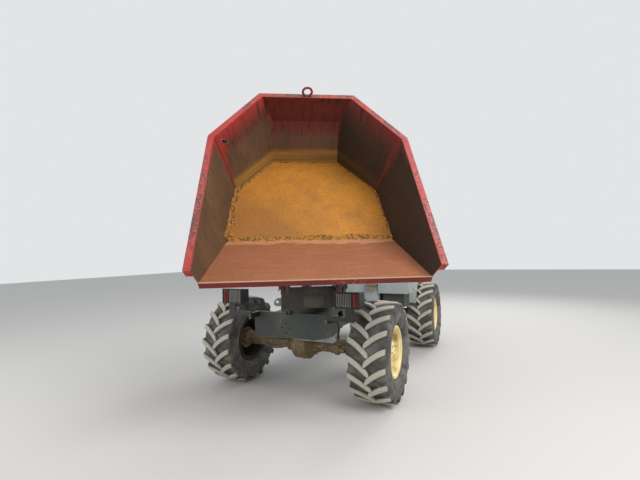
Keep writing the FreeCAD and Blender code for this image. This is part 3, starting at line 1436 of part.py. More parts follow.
def make_engine():
    """Make the engine block and its hinged bonnet, with louvres in its sides and slots in its tail."""
    half = D.engine_width / 2
    y = along(D.engine_front)
    node("engine", block((lateral(-half), y, D.engine_bottom),
                         (lateral(half), y + D.engine_length, D.engine_bottom + D.engine_height)))
    wide, wall = D.bonnet_half_width, D.bonnet_plate
    front, rear = along(D.bonnet_front), along(D.bonnet_rear)
    low, top = D.bonnet_bottom, D.bonnet_top
    tail, slope = rear - D.bonnet_tail_length, D.bonnet_slope_height
    outer = slab("YZ_Plane", [(front, low), (rear, low), (rear, top - D.bonnet_tail_drop),
                              (tail, top - slope),
                              (front, top)], lateral(-wide), wide * 2, (D.bonnet_rounding, (2, 3)))
    sill = low + D.bonnet_front_opening
    inner = slab("YZ_Plane", [(front - wall * 2, low - wall * 2), (rear - wall, low - wall * 2),
                              (rear - wall, top - D.bonnet_tail_drop - wall / 2),
                              (tail - wall, top - slope - wall),
                              (front + wall, top - wall), (front + wall, sill), (front - wall * 2, sill)],
                 lateral(-wide + wall), (wide - wall) * 2, (D.bonnet_rounding - wall, (2, 3)))
    slots = []
    for number in range(5):
        z = low + D.louvre_low + D.louvre_pitch * number
        for y in (front + D.louvre_length * 0.8, rear - D.louvre_length * 2.3):
            slots.append(block((lateral(-wide) - 1, y, z), (lateral(wide) + 1, y + D.louvre_length,
                                                            z + D.louvre_height)))
    for number in range(4):
        z = low + D.louvre_low / 2 + D.louvre_pitch * number
        slots.append(block((lateral(-D.grille_half_width), rear - wall - 1, z),
                           (lateral(D.grille_half_width), rear + 1, z + D.grille_height)))
    hinge = (along(D.bonnet_hinge_y), D.bonnet_hinge_height)
    long, knuckle = D.bonnet_knuckle_length, D.bonnet_knuckle_radius
    knuckles, bores = [], []
    for side in SIDES:
        x = lateral(beside(side, D.bonnet_knuckle_x, long))
        knuckles.append(rod(knuckle, (x, *hinge), ACROSS, long))
        knuckles.append(block((x, rear - wall, hinge[1]), (x + long, hinge[0], hinge[1] + knuckle)))
        bores.append(rod(D.bonnet_pin_radius + D.running_clearance, (x, *hinge), ACROSS, long))
    node("bonnet", without(joined(without(outer, inner, *slots), *knuckles), *bores))


def make_roll_bar():
    """Make the roll bar of square tube, which folds back about its feet, and the posts that carry it."""
    half, tube = D.roll_half_width, D.roll_tube
    y, top, corner = along(D.roll_y), D.roll_top, D.roll_corner
    pin, eye = D.roll_pin_height, D.roll_eye_radius
    low = D.roll_hinge_height + D.roll_pin_drop + D.working_clearance
    out, inn = half + tube / 2, half - tube / 2
    cut = corner - tube * 0.4
    hoop = slab("XZ_Plane", [
        (lateral(-out), low), (lateral(-out), top - corner), (lateral(-out + corner), top),
        (lateral(out - corner), top), (lateral(out), top - corner), (lateral(out), low), (lateral(inn), low),
        (lateral(inn), top - tube - cut), (lateral(inn - cut), top - tube),
        (lateral(-inn + cut), top - tube),
        (lateral(-inn), top - tube - cut), (lateral(-inn), low)], y - tube / 2, tube)
    parts, bores, posts = [hoop], [], []
    wide, fork, post_half = D.roll_eye_width, D.roll_fork_plate, D.roll_post_half
    neck = low + tube / 2
    for side in SIDES:
        x = lateral(half * side)
        parts.append(rod(eye, (x - wide / 2, y, pin), ACROSS, wide))
        parts.append(block((x - wide / 2, y - eye * 0.8, pin), (x + wide / 2, y + eye * 0.8, neck)))
        bores.append(rod(D.roll_pin_radius + D.running_clearance, (x - wide, y, pin), ACROSS, wide * 2))
        seat = pin - eye - D.working_clearance
        posts.append(block((x - post_half, y - post_half, D.rail_top), (x + post_half, y + post_half, seat)))
        gap = wide / 2 + D.working_clearance
        for start in (x - gap - fork, x + gap):
            posts.append(slab("YZ_Plane", [(y - post_half, seat - fork), (y + post_half, seat - fork),
                                           (y + post_half, pin + post_half),
                                           (y - post_half, pin + post_half)],
                              start, fork, (post_half * 0.8, (2, 3))))
        reach = gap + fork + D.hinge_pin_head / 2
        posts.append(rod(D.roll_pin_radius, (x - reach, y, pin), ACROSS, reach * 2))
    beam = D.cross_member
    posts.append(block((lateral(-half), y - beam / 2, D.rail_top),
                       (lateral(half), y + beam / 2, D.rail_top + beam)))
    node("roll_bar", without(joined(*parts), *bores))
    node("roll_bar_posts", joined(*posts))


def make_mudguards():
    """Make the rear mudguards: folded sheet arches with an inner web."""
    outer = D.tyre_radius + D.mudguard_gap
    thick, flat = D.mudguard_plate, D.mudguard_flat
    hub = D.tyre_radius
    low, shoulder, top = hub + D.mudguard_rise, hub + outer * 0.72, hub + outer
    lean = outer * 0.94
    # place along from the hub, height, inwards direction along and up
    folds = ((-lean, low, 1, 0), (-outer * 0.8, shoulder, 1, -0.6), (-flat, top, 0.4, -1),
             (flat, top, -0.4, -1),
             (outer * 0.8, shoulder, -1, -0.6), (lean, low, -1, 0))
    middle = along(D.wheelbase)
    sheet_line = [(middle + y, z) for y, z, _, _ in folds]
    inside = [(middle + y + thick * dy, z + thick * dz) for y, z, dy, dz in folds]
    web_low = D.rail_top - D.bracket_height * 1.75
    web = [(middle - lean, web_low), (middle + lean, web_low)] + sheet_line[::-1]
    guards = []
    for side in SIDES:
        arch = slab("YZ_Plane", sheet_line + inside[::-1], lateral(beside(side, D.deck_half_width,
                                                                          D.mudguard_width)),
                    D.mudguard_width)
        leaf = slab("YZ_Plane", web, lateral(beside(side, D.deck_half_width, thick)), thick)
        guards.append(joined(arch, leaf))
    node("mudguards", grouped(*guards))


def make_tanks():
    """Make the fuel tank on the left and the hydraulic tank on the right, each with its filler."""
    for name, side in (("fuel_tank", LEFT), ("hydraulic_tank", RIGHT)):
        x = lateral(beside(side, D.tank_inner, D.tank_width))
        low, high, front, rear = D.tank_bottom, D.tank_top, along(D.tank_front), along(D.tank_rear)
        shell = slab("YZ_Plane", [(front, low), (rear, low), (rear, high), (front, high)], x, D.tank_width,
                     (D.tank_rounding, (2, 3)))
        filler = rod(D.tank_cap_radius, (x + D.tank_width / 2, front + D.tank_width / 4, high - 1), UP,
                     D.tank_cap_height)
        node(name, joined(shell, filler))


def make_rear_fittings():
    """Make the tow hitch, rear lamps and exhaust."""
    y, jaw, ear, half = along(D.rear_end), D.hitch_jaw / 2, D.hitch_ear, D.hitch_half_width
    pin_y, cut = y + D.hitch_pin_reach, half * 0.6
    arms = []
    for z in (D.hitch_height + jaw, D.hitch_height - jaw - ear):
        arms.append(slab("XY_Plane", [(lateral(-half), y), (lateral(half), y), (lateral(half), pin_y),
                                      (lateral(half - cut), y + D.hitch_reach),
                                      (lateral(cut - half), y + D.hitch_reach),
                                      (lateral(-half), pin_y)], z, ear))
    wide = half + D.rear_plate_thickness
    foot = block((lateral(-wide), y, D.hitch_height - jaw - ear),
                 (lateral(wide), y + D.rear_plate_thickness, D.hitch_height + jaw + ear))
    hole = rod(D.hitch_pin_radius, (lateral(0.0), pin_y, D.hitch_height - jaw - ear - 1), UP,
               (jaw + ear) * 2 + 2)
    node("tow_hitch", without(joined(foot, *arms), hole))
    lamps = []
    low = D.deck_height - D.rear_lamp_drop - D.rear_lamp_height
    for side in SIDES:
        x = lateral(D.rear_lamp_x * side) - D.rear_lamp_width / 2
        lamps.append(slab("YZ_Plane", [(y, low), (y + D.rear_lamp_depth, low + D.lamp_wall),
                                       (y + D.rear_lamp_depth, low + D.rear_lamp_height - D.lamp_wall),
                                       (y, low + D.rear_lamp_height)], x, D.rear_lamp_width))
    node("rear_lamps", grouped(*lamps))
    side_x = D.bonnet_half_width + D.exhaust_gap
    x, y, z = lateral(-side_x), along(D.bonnet_front + D.exhaust_back), D.rail_top + D.exhaust_rise
    pipe = D.exhaust_radius
    node("exhaust", joined(rod(pipe, (x, y, z), ACROSS, side_x - D.engine_width / 2),
                           rod(pipe, (x, y, z - pipe), UP, D.exhaust_height + pipe),
                           rod(D.silencer_radius, (x, y, z + D.silencer_rise), UP, D.silencer_length)))


def check_and_export():
    """Recompute, test every object and write each sub-part as a STEP file."""
    doc.recompute()
    for thing in doc.Objects:
        state = set(thing.State)
        if state & {"Invalid", "Error"}:
            raise RuntimeError(f"{thing.Name} ({thing.Label}) failed: {thing.State}")
    os.makedirs("parts", exist_ok=True)
    for thing in nodes:
        shape = thing.Shape
        if shape.isNull() or not shape.isValid() or not shape.Solids:
            raise RuntimeError(f"{thing.Label} has no valid solid")
    for thing in nodes:
        thing.Shape.exportStep(f"parts/{thing.Label}.step")
    box = Part.makeCompound([thing.Shape for thing in nodes]).BoundBox
    print("nodes", len(nodes), "box", box)


make_skip()
make_carrier()
make_lifting_eye()
make_turret()
make_tip_ram()
make_wheels()
make_axle("front_axle", 0.0, 1)
make_axle("rear_axle", D.wheelbase, -1)
make_front_chassis()
make_front_plate()
make_lamps()
make_rear_chassis()
make_steer_ram()
make_platform()
make_seat()
make_engine()
make_roll_bar()
make_mudguards()
make_tanks()
make_rear_fittings()
check_and_export()
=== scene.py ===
"""Looks of an articulated site dumper with a swivel skip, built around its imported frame.

Everything is in metres in the part's frame: +Z up, the machine faces -Y and its left side is +X.
"""
from __future__ import annotations

import json
import logging
import math
from dataclasses import dataclass, field
from enum import IntEnum

import bmesh
import bpy
import numpy as np
from mathutils import Matrix, Vector

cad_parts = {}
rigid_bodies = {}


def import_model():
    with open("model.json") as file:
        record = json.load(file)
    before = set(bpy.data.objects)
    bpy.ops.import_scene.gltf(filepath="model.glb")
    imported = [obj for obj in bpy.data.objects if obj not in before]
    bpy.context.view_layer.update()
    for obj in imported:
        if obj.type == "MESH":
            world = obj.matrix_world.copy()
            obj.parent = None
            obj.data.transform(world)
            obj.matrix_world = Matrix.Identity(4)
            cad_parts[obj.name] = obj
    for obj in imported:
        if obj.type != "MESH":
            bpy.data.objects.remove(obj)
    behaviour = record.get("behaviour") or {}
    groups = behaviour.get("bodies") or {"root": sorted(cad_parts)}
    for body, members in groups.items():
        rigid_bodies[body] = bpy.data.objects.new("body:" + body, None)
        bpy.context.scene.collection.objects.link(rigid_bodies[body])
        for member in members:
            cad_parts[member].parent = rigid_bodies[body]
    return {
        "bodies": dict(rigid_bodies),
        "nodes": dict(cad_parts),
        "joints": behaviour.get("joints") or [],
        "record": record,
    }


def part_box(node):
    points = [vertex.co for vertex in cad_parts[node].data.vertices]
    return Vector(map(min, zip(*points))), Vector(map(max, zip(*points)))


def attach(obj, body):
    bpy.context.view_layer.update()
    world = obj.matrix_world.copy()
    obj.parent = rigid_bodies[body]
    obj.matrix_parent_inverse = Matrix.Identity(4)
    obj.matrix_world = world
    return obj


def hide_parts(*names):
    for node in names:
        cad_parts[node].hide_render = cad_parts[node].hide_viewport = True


LOG = logging.getLogger("site_dumper")
WHEELBASE = 2.616
HUB_HEIGHT = 0.5375
Pair = tuple[float, float]
Triple = tuple[float, float, float]
Plane = tuple[Triple, float]
Colour = Triple
Material = bpy.types.Material
Object = bpy.types.Object
Socket = bpy.types.NodeSocket


def rgb(red: int, green: int, blue: int) -> Colour:
    """Turn screen colour values from 0 to 255 into linear light."""
    levels = []
    for value in (red, green, blue):
        share = value / 255
        levels.append(share / 12.92 if share <= 0.04045 else ((share + 0.055) / 1.055) ** 2.4)
    return tuple(levels)


class Side(IntEnum):
    """A side of the machine, whose value is the sign of its places across."""

    LEFT = 1
    RIGHT = -1


class Graph:
    """A material's node tree, with short calls for the nodes that the finishes share."""

    def __init__(self, name: str) -> None:
        """Start an empty tree.

        Args:
            name: The material's name.
        """
        self.material = bpy.data.materials.new(name)
        self.material.use_nodes = True
        self.tree = self.material.node_tree
        self.tree.nodes.clear()

    def node(self, kind: str, inputs: dict | None = None, **settings: object) -> bpy.types.Node:
        """Add a node.

        Args:
            kind: The node's type, without the word ShaderNode in front.
            inputs: What each input is linked or set to, by its name or number.
            settings: The node's own properties.

        Returns:
            The new node.
        """
        made = self.tree.nodes.new(f"ShaderNode{kind}")
        for key, value in settings.items():
            setattr(made, key, value)
        for key, value in (inputs or {}).items():
            self.feed(made.inputs[key], value)
        return made

    def feed(self, socket: Socket, value: object) -> None:
        """Link a socket to another, or set its value."""
        if isinstance(value, Socket):
            self.tree.links.new(value, socket)
        elif isinstance(value, tuple) and len(value) == 3 and len(socket.default_value) == 4:
            socket.default_value = (*value, 1.0)
        else:
            socket.default_value = value

    def place(self, matrix: Matrix | None = None, stretch: Triple = (1, 1, 1)) -> Socket:
        """Give object coordinates, seen from a local frame and stretched.

        Args:
            matrix: The local frame, or None for the part's own.
            stretch: How much each local axis is multiplied.

        Returns:
            The vector socket.
        """
        coords = self.node("TexCoord").outputs["Object"]
        if matrix is not None:
            undo = matrix.inverted()
            turn = {"Rotation": undo.to_euler(), "Location": undo.to_translation(), "Vector": coords}
            coords = self.node("Mapping", turn).outputs["Vector"]
        if stretch != (1, 1, 1):
            coords = self.node("Mapping", {"Scale": stretch, "Vector": coords}).outputs["Vector"]
        return coords

    def normal_in(self, matrix: Matrix) -> Socket:
        """Give a face's normal in a local frame."""
        turn = {"Rotation": matrix.inverted().to_euler(), "Vector": self.node("TexCoord").outputs["Normal"]}
        return self.node("Mapping", turn, vector_type="NORMAL").outputs["Vector"]

    def noise(self, at: Socket, scale: float, detail: float = 5.0, rough: float = 0.55,
            warp: float = 0.0) -> Socket:
        """Give fractal noise from 0 to 1."""
        inputs = {"Vector": at, "Scale": scale, "Detail": detail, "Roughness": rough, "Distortion": warp}
        return self.node("TexNoise", inputs).outputs["Fac"]

    def cells(self, at: Socket, scale: float) -> Socket:
        """Give the distance to the nearest of scattered points."""
        return self.node("TexVoronoi", {"Vector": at, "Scale": scale}).outputs["Distance"]

    def step(self, value: object, low: float, high: float, to_low: float = 0.0,
            to_high: float = 1.0) -> Socket:
        """Carry a value smoothly from one range to another, and hold it at the ends."""
        inputs = {"Value": value, "From Min": low, "From Max": high, "To Min": to_low, "To Max": to_high}
        return self.node("MapRange", inputs, interpolation_type="SMOOTHSTEP").outputs["Result"]

    def maths(self, operation: str, one: object, two: object = 0.0, clamp: bool = False) -> Socket:
        """Join two values by an operation, held from 0 to 1 where clamp is set."""
        return self.node("Math", {0: one, 1: two}, operation=operation, use_clamp=clamp).outputs[0]

    def both(self, one: object, two: object) -> Socket:
        """Give the product of two shares, held from 0 to 1."""
        return self.maths("MULTIPLY", one, two, True)

    def most(self, one: object, two: object) -> Socket:
        """Give the larger of two shares, held from 0 to 1."""
        return self.maths("MAXIMUM", one, two, True)

    def times(self, one: object, two: object) -> Socket:
        """Multiply two values."""
        return self.maths("MULTIPLY", one, two)

    def plus(self, one: object, two: object) -> Socket:
        """Add two values."""
        return self.maths("ADD", one, two)

    def blend(self, share: object, one: object, two: object) -> Socket:
        """Mix two colours by a share."""
        return self.node("Mix", {"Factor": share, 6: one, 7: two}, data_type="RGBA").outputs[2]

    def axis(self, vector: Socket, name: str) -> Socket:
        """Give one coordinate of a vector."""
        return self.node("SeparateXYZ", {0: vector}).outputs[name]

    def join(self, operation: str, one: object, two: object = (0.0, 0.0, 0.0)) -> bpy.types.NodeOutputs:
        """Join two vectors by an operation and give the outputs."""
        return self.node("VectorMath", {0: one, 1: two}, operation=operation).outputs

    def off_axle(self, at: Socket) -> Socket:
        """Give the distance from the local X axis."""
        return self.join("LENGTH", self.join("MULTIPLY", at, (0.0, 1.0, 1.0))[0])["Value"]

    def upward(self) -> Socket:
        """Give how far a face looks up, from 0 to 1, where dust settles."""
        return self.step(self.axis(self.node("NewGeometry").outputs["Normal"], "Z"), 0.1, 0.9)

    def edges(self, width: float) -> Socket:
        """Give 1 near sharp edges and 0 on flat faces.

        A rounded normal is compared with the face's own: they part only within the width of an edge.
        """
        soft = self.node("Bevel", {"Radius": width}, samples=6).outputs["Normal"]
        plain = self.node("NewGeometry").outputs["Normal"]
        return self.step(self.join("DOT_PRODUCT", soft, plain)["Value"], 0.995, 0.86)

    def bump(self, height: Socket, strength: float, distance: float) -> Socket:
        """Give a normal raised by a height."""
        inputs = {"Strength": strength, "Distance": distance, "Height": height}
        return self.node("Bump", inputs).outputs["Normal"]

    def close(self, colour: object, roughness: object, metallic: float = 0.0, normal: Socket | None = None,
            **sockets: object) -> Material:
        """End the tree in a surface shader and give the material."""
        inputs = {"Base Color": colour, "Roughness": roughness, "Metallic": metallic}
        inputs |= {name.replace("_", " "): value for name, value in sockets.items()}
        if normal is not None:
            inputs["Normal"] = normal
        self.node("OutputMaterial", {"Surface": self.node("BsdfPrincipled", inputs).outputs[0]})
        return self.material


def link(name: str, data: bpy.types.ID) -> Object:
    """Make an object of some data in the scene."""
    made = bpy.data.objects.new(name, data)
    bpy.context.scene.collection.objects.link(made)
    return made


def vertices(mesh: bpy.types.Mesh, what: str = "co") -> np.ndarray:
    """Read the place or the normal of every vertex."""
    made = np.empty(len(mesh.vertices) * 3, np.float32)
    mesh.vertices.foreach_get(what, made)
    return made.reshape(-1, 3)


class Form:
    """Gathers parametric grids of points and turns them into one finished piece."""

    def __init__(self) -> None:
        """Start with no points."""
        self.points: list[np.ndarray] = []
        self.faces: list[np.ndarray] = []
        self.total = 0

    def grid(self, points: np.ndarray, round_rows: bool = False, round_columns: bool = False) -> Form:
        """Join a grid of points by quads.

        Args:
            points: An array of rows by columns by three coordinates.
            round_rows: Whether the last row joins the first.
            round_columns: Whether the last column joins the first.

        Returns:
            This form, so that calls can follow each other.
        """
        rows, columns = points.shape[:2]
        index = np.arange(rows * columns).reshape(rows, columns) + self.total
        if round_rows:
            index = np.vstack([index, index[:1]])
        if round_columns:
            index = np.hstack([index, index[:, :1]])
        corners = (index[:-1, :-1], index[1:, :-1], index[1:, 1:], index[:-1, 1:])
        self.points.append(points.reshape(-1, 3))
        self.faces.append(np.stack(corners, axis=-1).reshape(-1, 4))
        self.total += rows * columns
        return self

    def loop(self, points: np.ndarray) -> Form:
        """Join a grid of points that runs round both ways."""
        return self.grid(points, round_rows=True, round_columns=True)

    def turned(self, outline: list[tuple[float, ...]], centre: object, axis: object, count: int,
            steps: int = 2) -> Form:
        """Turn an outline of (along the axis, radius, rounding) about an axis, and close both ends."""
        return self.tube(lathe(fillet(outline, steps), centre, axis, count))

    def tube(self, rings: np.ndarray) -> Form:
        """Join closed rings of points, and close both ends at their middles."""
        first = np.repeat(rings[:1].mean(axis=1, keepdims=True), rings.shape[1], axis=1)
        last = np.repeat(rings[-1:].mean(axis=1, keepdims=True), rings.shape[1], axis=1)
        return self.grid(np.concatenate([first, rings, last]), round_columns=True)

    def piece(self, name: str, body: str, material: Material, crease_deg: float = 32.0,
            frame: Matrix | None = None) -> Object:
        """Make the gathered points one smooth closed piece that rides on a body.

        Args:
            name: The piece's name.
            body: The CAD body that it rides on.
            material: Its finish.
            crease_deg: Faces that meet at a larger angle keep a sharp edge.
            frame: The frame that the points are given in, or None for the part's own.

        Returns:
            The new object.
        """
        points, faces = np.concatenate(self.points), np.concatenate(self.faces)
        if frame is not None:
            points = points @ np.array(frame.to_3x3()).T + np.array(frame.to_translation())
        mesh = bpy.data.meshes.new(name)
        mesh.vertices.add(len(points))
        mesh.vertices.foreach_set("co", points.astype(np.float32).ravel())
        mesh.loops.add(faces.size)
        mesh.loops.foreach_set("vertex_index", faces.astype(np.int32).ravel())
        mesh.polygons.add(len(faces))
        mesh.polygons.foreach_set("loop_start", np.arange(0, faces.size, 4, dtype=np.int32))
        mesh.update(calc_edges=True)
        work = bmesh.new()
        work.from_mesh(mesh)
        bmesh.ops.remove_doubles(work, verts=work.verts, dist=1e-5)
        bmesh.ops.recalc_face_normals(work, faces=work.faces)
        work.to_mesh(mesh)
        work.free()
        mesh.shade_smooth()
        mesh.set_sharp_from_angle(angle=math.radians(crease_deg))
        mesh.materials.append(material)
        made = link(name, mesh)
        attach(made, body)
        LOG.info("%s: %d faces on %s", name, len(mesh.polygons), body)
        return made


def fillet(points: list[tuple[float, ...]], steps: int = 4, closed: bool = False) -> np.ndarray:
    """Round the corners of a flat line of points.

    Each point is (a, b) or (a, b, radius). A corner is replaced by a curve that starts and ends at the
    radius times the tangent of half the turn from it, and bends as (1-t)^2 p + 2t(1-t) c + t^2 q.
    """
    flat = np.array([point[:2] for point in points], float)
    radii = [point[2] if len(point) > 2 else 0.0 for point in points]
    made = []
    count = len(flat)
    for i, corner in enumerate(flat):
        if radii[i] <= 0 or (not closed and i in (0, count - 1)):
            made.append(corner[None])
            continue
        back, ahead = flat[i - 1] - corner, flat[(i + 1) % count] - corner
        reach_back, reach_ahead = np.linalg.norm(back), np.linalg.norm(ahead)
        turn = math.pi - math.acos(np.clip(back @ ahead / (reach_back * reach_ahead), -1, 1))
        cut = min(radii[i] * math.tan(turn / 2), 0.48 * reach_back, 0.48 * reach_ahead)
        start, end = corner + back / reach_back * cut, corner + ahead / reach_ahead * cut
        t = np.linspace(0, 1, steps + 1)[:, None]
        made.append((1 - t) ** 2 * start + 2 * t * (1 - t) * corner + t ** 2 * end)
    return np.concatenate(made)


def rounded_box(width: float, height: float, radius: float, steps: int = 3) -> np.ndarray:
    """Give a closed section: a rectangle with rounded corners, about its middle."""
    a, b = width / 2, height / 2
    return fillet([(-a, -b, radius), (a, -b, radius), (a, b, radius), (-a, b, radius)], steps, closed=True)


def ring_section(radius: float, count: int = 12) -> np.ndarray:
    """Give a closed round section about its middle."""
    turn = np.linspace(0, 2 * math.pi, count, endpoint=False)
    return radius * np.column_stack([np.cos(turn), np.sin(turn)])


def smooth(points: np.ndarray, per_span: int) -> np.ndarray:
    """Carry a line through points: a cubic between each pair, with the slopes of the chords beside it."""
    points = np.asarray(points, float)
    slopes = np.gradient(points, axis=0)
    t = np.linspace(0, 1, per_span, endpoint=False)[:, None]
    near, far = 2 * t ** 3 - 3 * t ** 2 + 1, -2 * t ** 3 + 3 * t ** 2
    leave, arrive = t ** 3 - 2 * t ** 2 + t, t ** 3 - t ** 2
    spans = [near * points[i] + leave * slopes[i] + far * points[i + 1] + arrive * slopes[i + 1]
        for i in range(len(points) - 1)]
    return np.concatenate([*spans, points[-1:]])


def crosswise(axis: Vector | Triple) -> tuple[np.ndarray, np.ndarray, np.ndarray]:
    """Give an axis as a unit array with two more that are square to it and to each other."""
    along = np.array(Vector(axis).normalized())
    helper = np.array((0.0, 0.0, 1.0)) if abs(along[2]) < 0.9 else np.array((1.0, 0.0, 0.0))
    one = np.cross(helper, along)
    one /= np.linalg.norm(one)
    return along, one, np.cross(along, one)


def lathe(outline: np.ndarray, centre: object, axis: object, count: int = 64,
        phase: float = 0.0) -> np.ndarray:
    """Turn an outline of (along the axis, radius) into rings of points about the axis."""
    along, one, two = crosswise(axis)
    turn = np.linspace(0, 2 * math.pi, count, endpoint=False) + phase
    round_about = np.cos(turn)[:, None] * one + np.sin(turn)[:, None] * two
    outline = np.asarray(outline, float)
    return np.array(centre) + outline[:, 0, None, None] * along + outline[:, 1, None, None] * round_about


def carried(path: np.ndarray, section: np.ndarray, up: object, scale: np.ndarray | None = None) -> np.ndarray:
    """Carry a closed section along a path, its second axis kept towards up.

    Args:
        path: The points that the section's middle follows.
        section: The closed section, as (across, up) points.
        up: The direction that the section's second axis leans to.
        scale: A size for the section at each point of the path.

    Returns:
        The rings of points.
    """
    path = np.asarray(path, float)
    ahead = np.gradient(path, axis=0)
    ahead /= np.linalg.norm(ahead, axis=1, keepdims=True)
    across = np.cross(ahead, np.array(up, float))
    across /= np.linalg.norm(across, axis=1, keepdims=True)
    above = np.cross(across, ahead)
    size = np.ones(len(path)) if scale is None else np.asarray(scale, float)
    offset = section[None, :, 0, None] * across[:, None] + section[None, :, 1, None] * above[:, None]
    return path[:, None] + size[:, None, None] * offset


def add_bolt(form: Form, foot: object, axis: object, flats: float, height: float, washer: float = 1.35,
        turn: float = 0.0) -> None:
    """Add a hexagonal head on its washer.

    Args:
        form: The form that the bolt joins.
        foot: Where the washer lies.
        axis: The direction that the head stands in.
        flats: The size across the head's flats.
        height: The head's height.
        washer: The washer's radius as a share of the head's corner radius, or 0 for none.
        turn: How far the head is turned, in radians.
    """
    corner = flats / math.sqrt(3)
    if washer:
        thick = flats * 0.12
        form.tube(lathe(np.array([(0, corner * washer), (thick, corner * washer)]), foot, axis, 20))
        foot = np.array(foot) + crosswise(axis)[0] * thick
    outline = [(0, corner), (height * 0.86, corner), (height, corner * 0.82)]
    form.tube(lathe(np.array(outline), foot, axis, 6, turn))


def wander(count: int, knots: int, low: float, high: float, seed: int) -> np.ndarray:
    """Give a smooth random line: values at even knots from a fixed seed, joined by half waves."""
    values = np.random.default_rng(seed).uniform(low, high, knots + 1)
    at = np.linspace(0, knots - 1e-6, count)
    knot = at.astype(int)
    share = (1 - np.cos(math.pi * (at - knot))) / 2
    return values[knot] * (1 - share) + values[knot + 1] * share


def evenly(line: np.ndarray, count: int) -> np.ndarray:
    """Lay points at even distances along a line."""
    steps = np.linalg.norm(np.diff(line, axis=0), axis=1)
    reach = np.concatenate([[0.0], np.cumsum(steps)])
    at = np.linspace(0, reach[-1], count)
    return np.column_stack([np.interp(at, reach, line[:, i]) for i in range(line.shape[1])])


def rubble(rows: int, columns: int, seed: int) -> np.ndarray:
    """Give crumbly heights from -1 to about 1: random values, evened out with their neighbours."""
    made = np.random.default_rng(seed).normal(0.0, 1.0, (rows, columns))
    for _ in range(2):
        made = (made + np.roll(made, 1, 0) + np.roll(made, -1, 0) + np.roll(made, 1, 1)
            + np.roll(made, -1, 1)) / 5
    return np.clip(made / made.std(), -1.5, 2.5) / 1.8


def add_bead(form: Form, start: object, end: object, radius: float, seed: int,
        up: object = (0.3, 0.5, 0.8)) -> None:
    """Add a weld bead between two points: a round bar whose size ripples as the weld pool did."""
    start, end = np.array(start, float), np.array(end, float)
    count = max(int(np.linalg.norm(end - start) / 0.006), 4)
    path = start + np.linspace(0, 1, count)[:, None] * (end - start)
    swell = 1 + 0.12 * np.cos(np.arange(count) * 2.4) + wander(count, count // 5 + 2, -0.15, 0.15, seed)
    form.tube(carried(path, ring_section(radius, 8), up, swell))


def add_lump(form: Form, centre: object, size: Triple, seed: int) -> None:
    """Add a lump of dried mud: a flattened ball whose radius wanders with both its angles."""
    draw = np.random.default_rng(seed)
    polar = np.linspace(0, math.pi, 9)[1:-1, None]
    turn = np.linspace(0, 2 * math.pi, 12, endpoint=False)[None]
    phase = draw.uniform(0, 2 * math.pi, 4)
    radius = (1 + 0.16 * np.sin(3 * turn + phase[0]) * np.sin(polar) + 0.12 * np.cos(4 * polar + phase[1])
        + 0.10 * np.sin(5 * turn + 2 * polar + phase[2]))
    ball = np.stack(
        [radius * np.sin(polar) * np.cos(turn), radius * np.sin(polar) * np.sin(turn),
            radius * np.cos(polar) * np.ones_like(turn)], axis=-1)
    form.tube(ball * np.array(size) + np.array(centre))


def add_sheet(form: Form, front: np.ndarray, back: np.ndarray) -> None:
    """Add a closed sheet between a front grid of points and a back one."""
    form.grid(front)
    form.grid(back)
    for one, two in ((front[0], back[0]), (front[-1], back[-1]), (front[:, 0], back[:, 0]),
            (front[:, -1], back[:, -1])):
        form.grid(np.stack([one, two]))


def add_lens(form: Form, across: np.ndarray, up: np.ndarray, face: np.ndarray, back: float) -> None:
    """Add a lens: a sheet over places across and up, whose face stands at given depths before a flat back."""
    sides = np.broadcast_to(across, face.shape), np.broadcast_to(up[:, None], face.shape)
    add_sheet(form,
        *(np.stack([sides[0], depth, sides[1]], axis=-1) for depth in (face, np.full_like(face, back))))


def add_plate(form: Form, low: Triple, high: Triple, round_by: float) -> None:
    """Add a flat bar or plate between two corners, its long edges rounded and its ends slightly drawn in."""
    low, high = np.array(low, float), np.array(high, float)
    size = high - low
    run = int(np.argmax(size))
    one, two = (i for i in range(3) if i != run)
    section = rounded_box(size[one], size[two], min(round_by, size[one] * 0.45, size[two] * 0.45))
    draw_in = min(round_by, size[run] * 0.2)
    stations = np.array([(0.0, draw_in), (draw_in * 0.3, draw_in * 0.3), (draw_in, 0.0)])
    places = np.concatenate([stations[:, 0], size[run] - stations[::-1, 0]])
    insets = np.concatenate([stations[:, 1], stations[::-1, 1]])
    rings = np.zeros((len(places), len(section), 3))
    middle = (low + high) / 2
    for axis, column in ((one, 0), (two, 1)):
        half = size[axis] / 2
        rings[..., axis] = middle[axis] + section[None, :, column] * (1 - insets / half * 0.5)[:, None]
    rings[..., run] = (low[run] + places)[:, None]
    form.tube(rings)


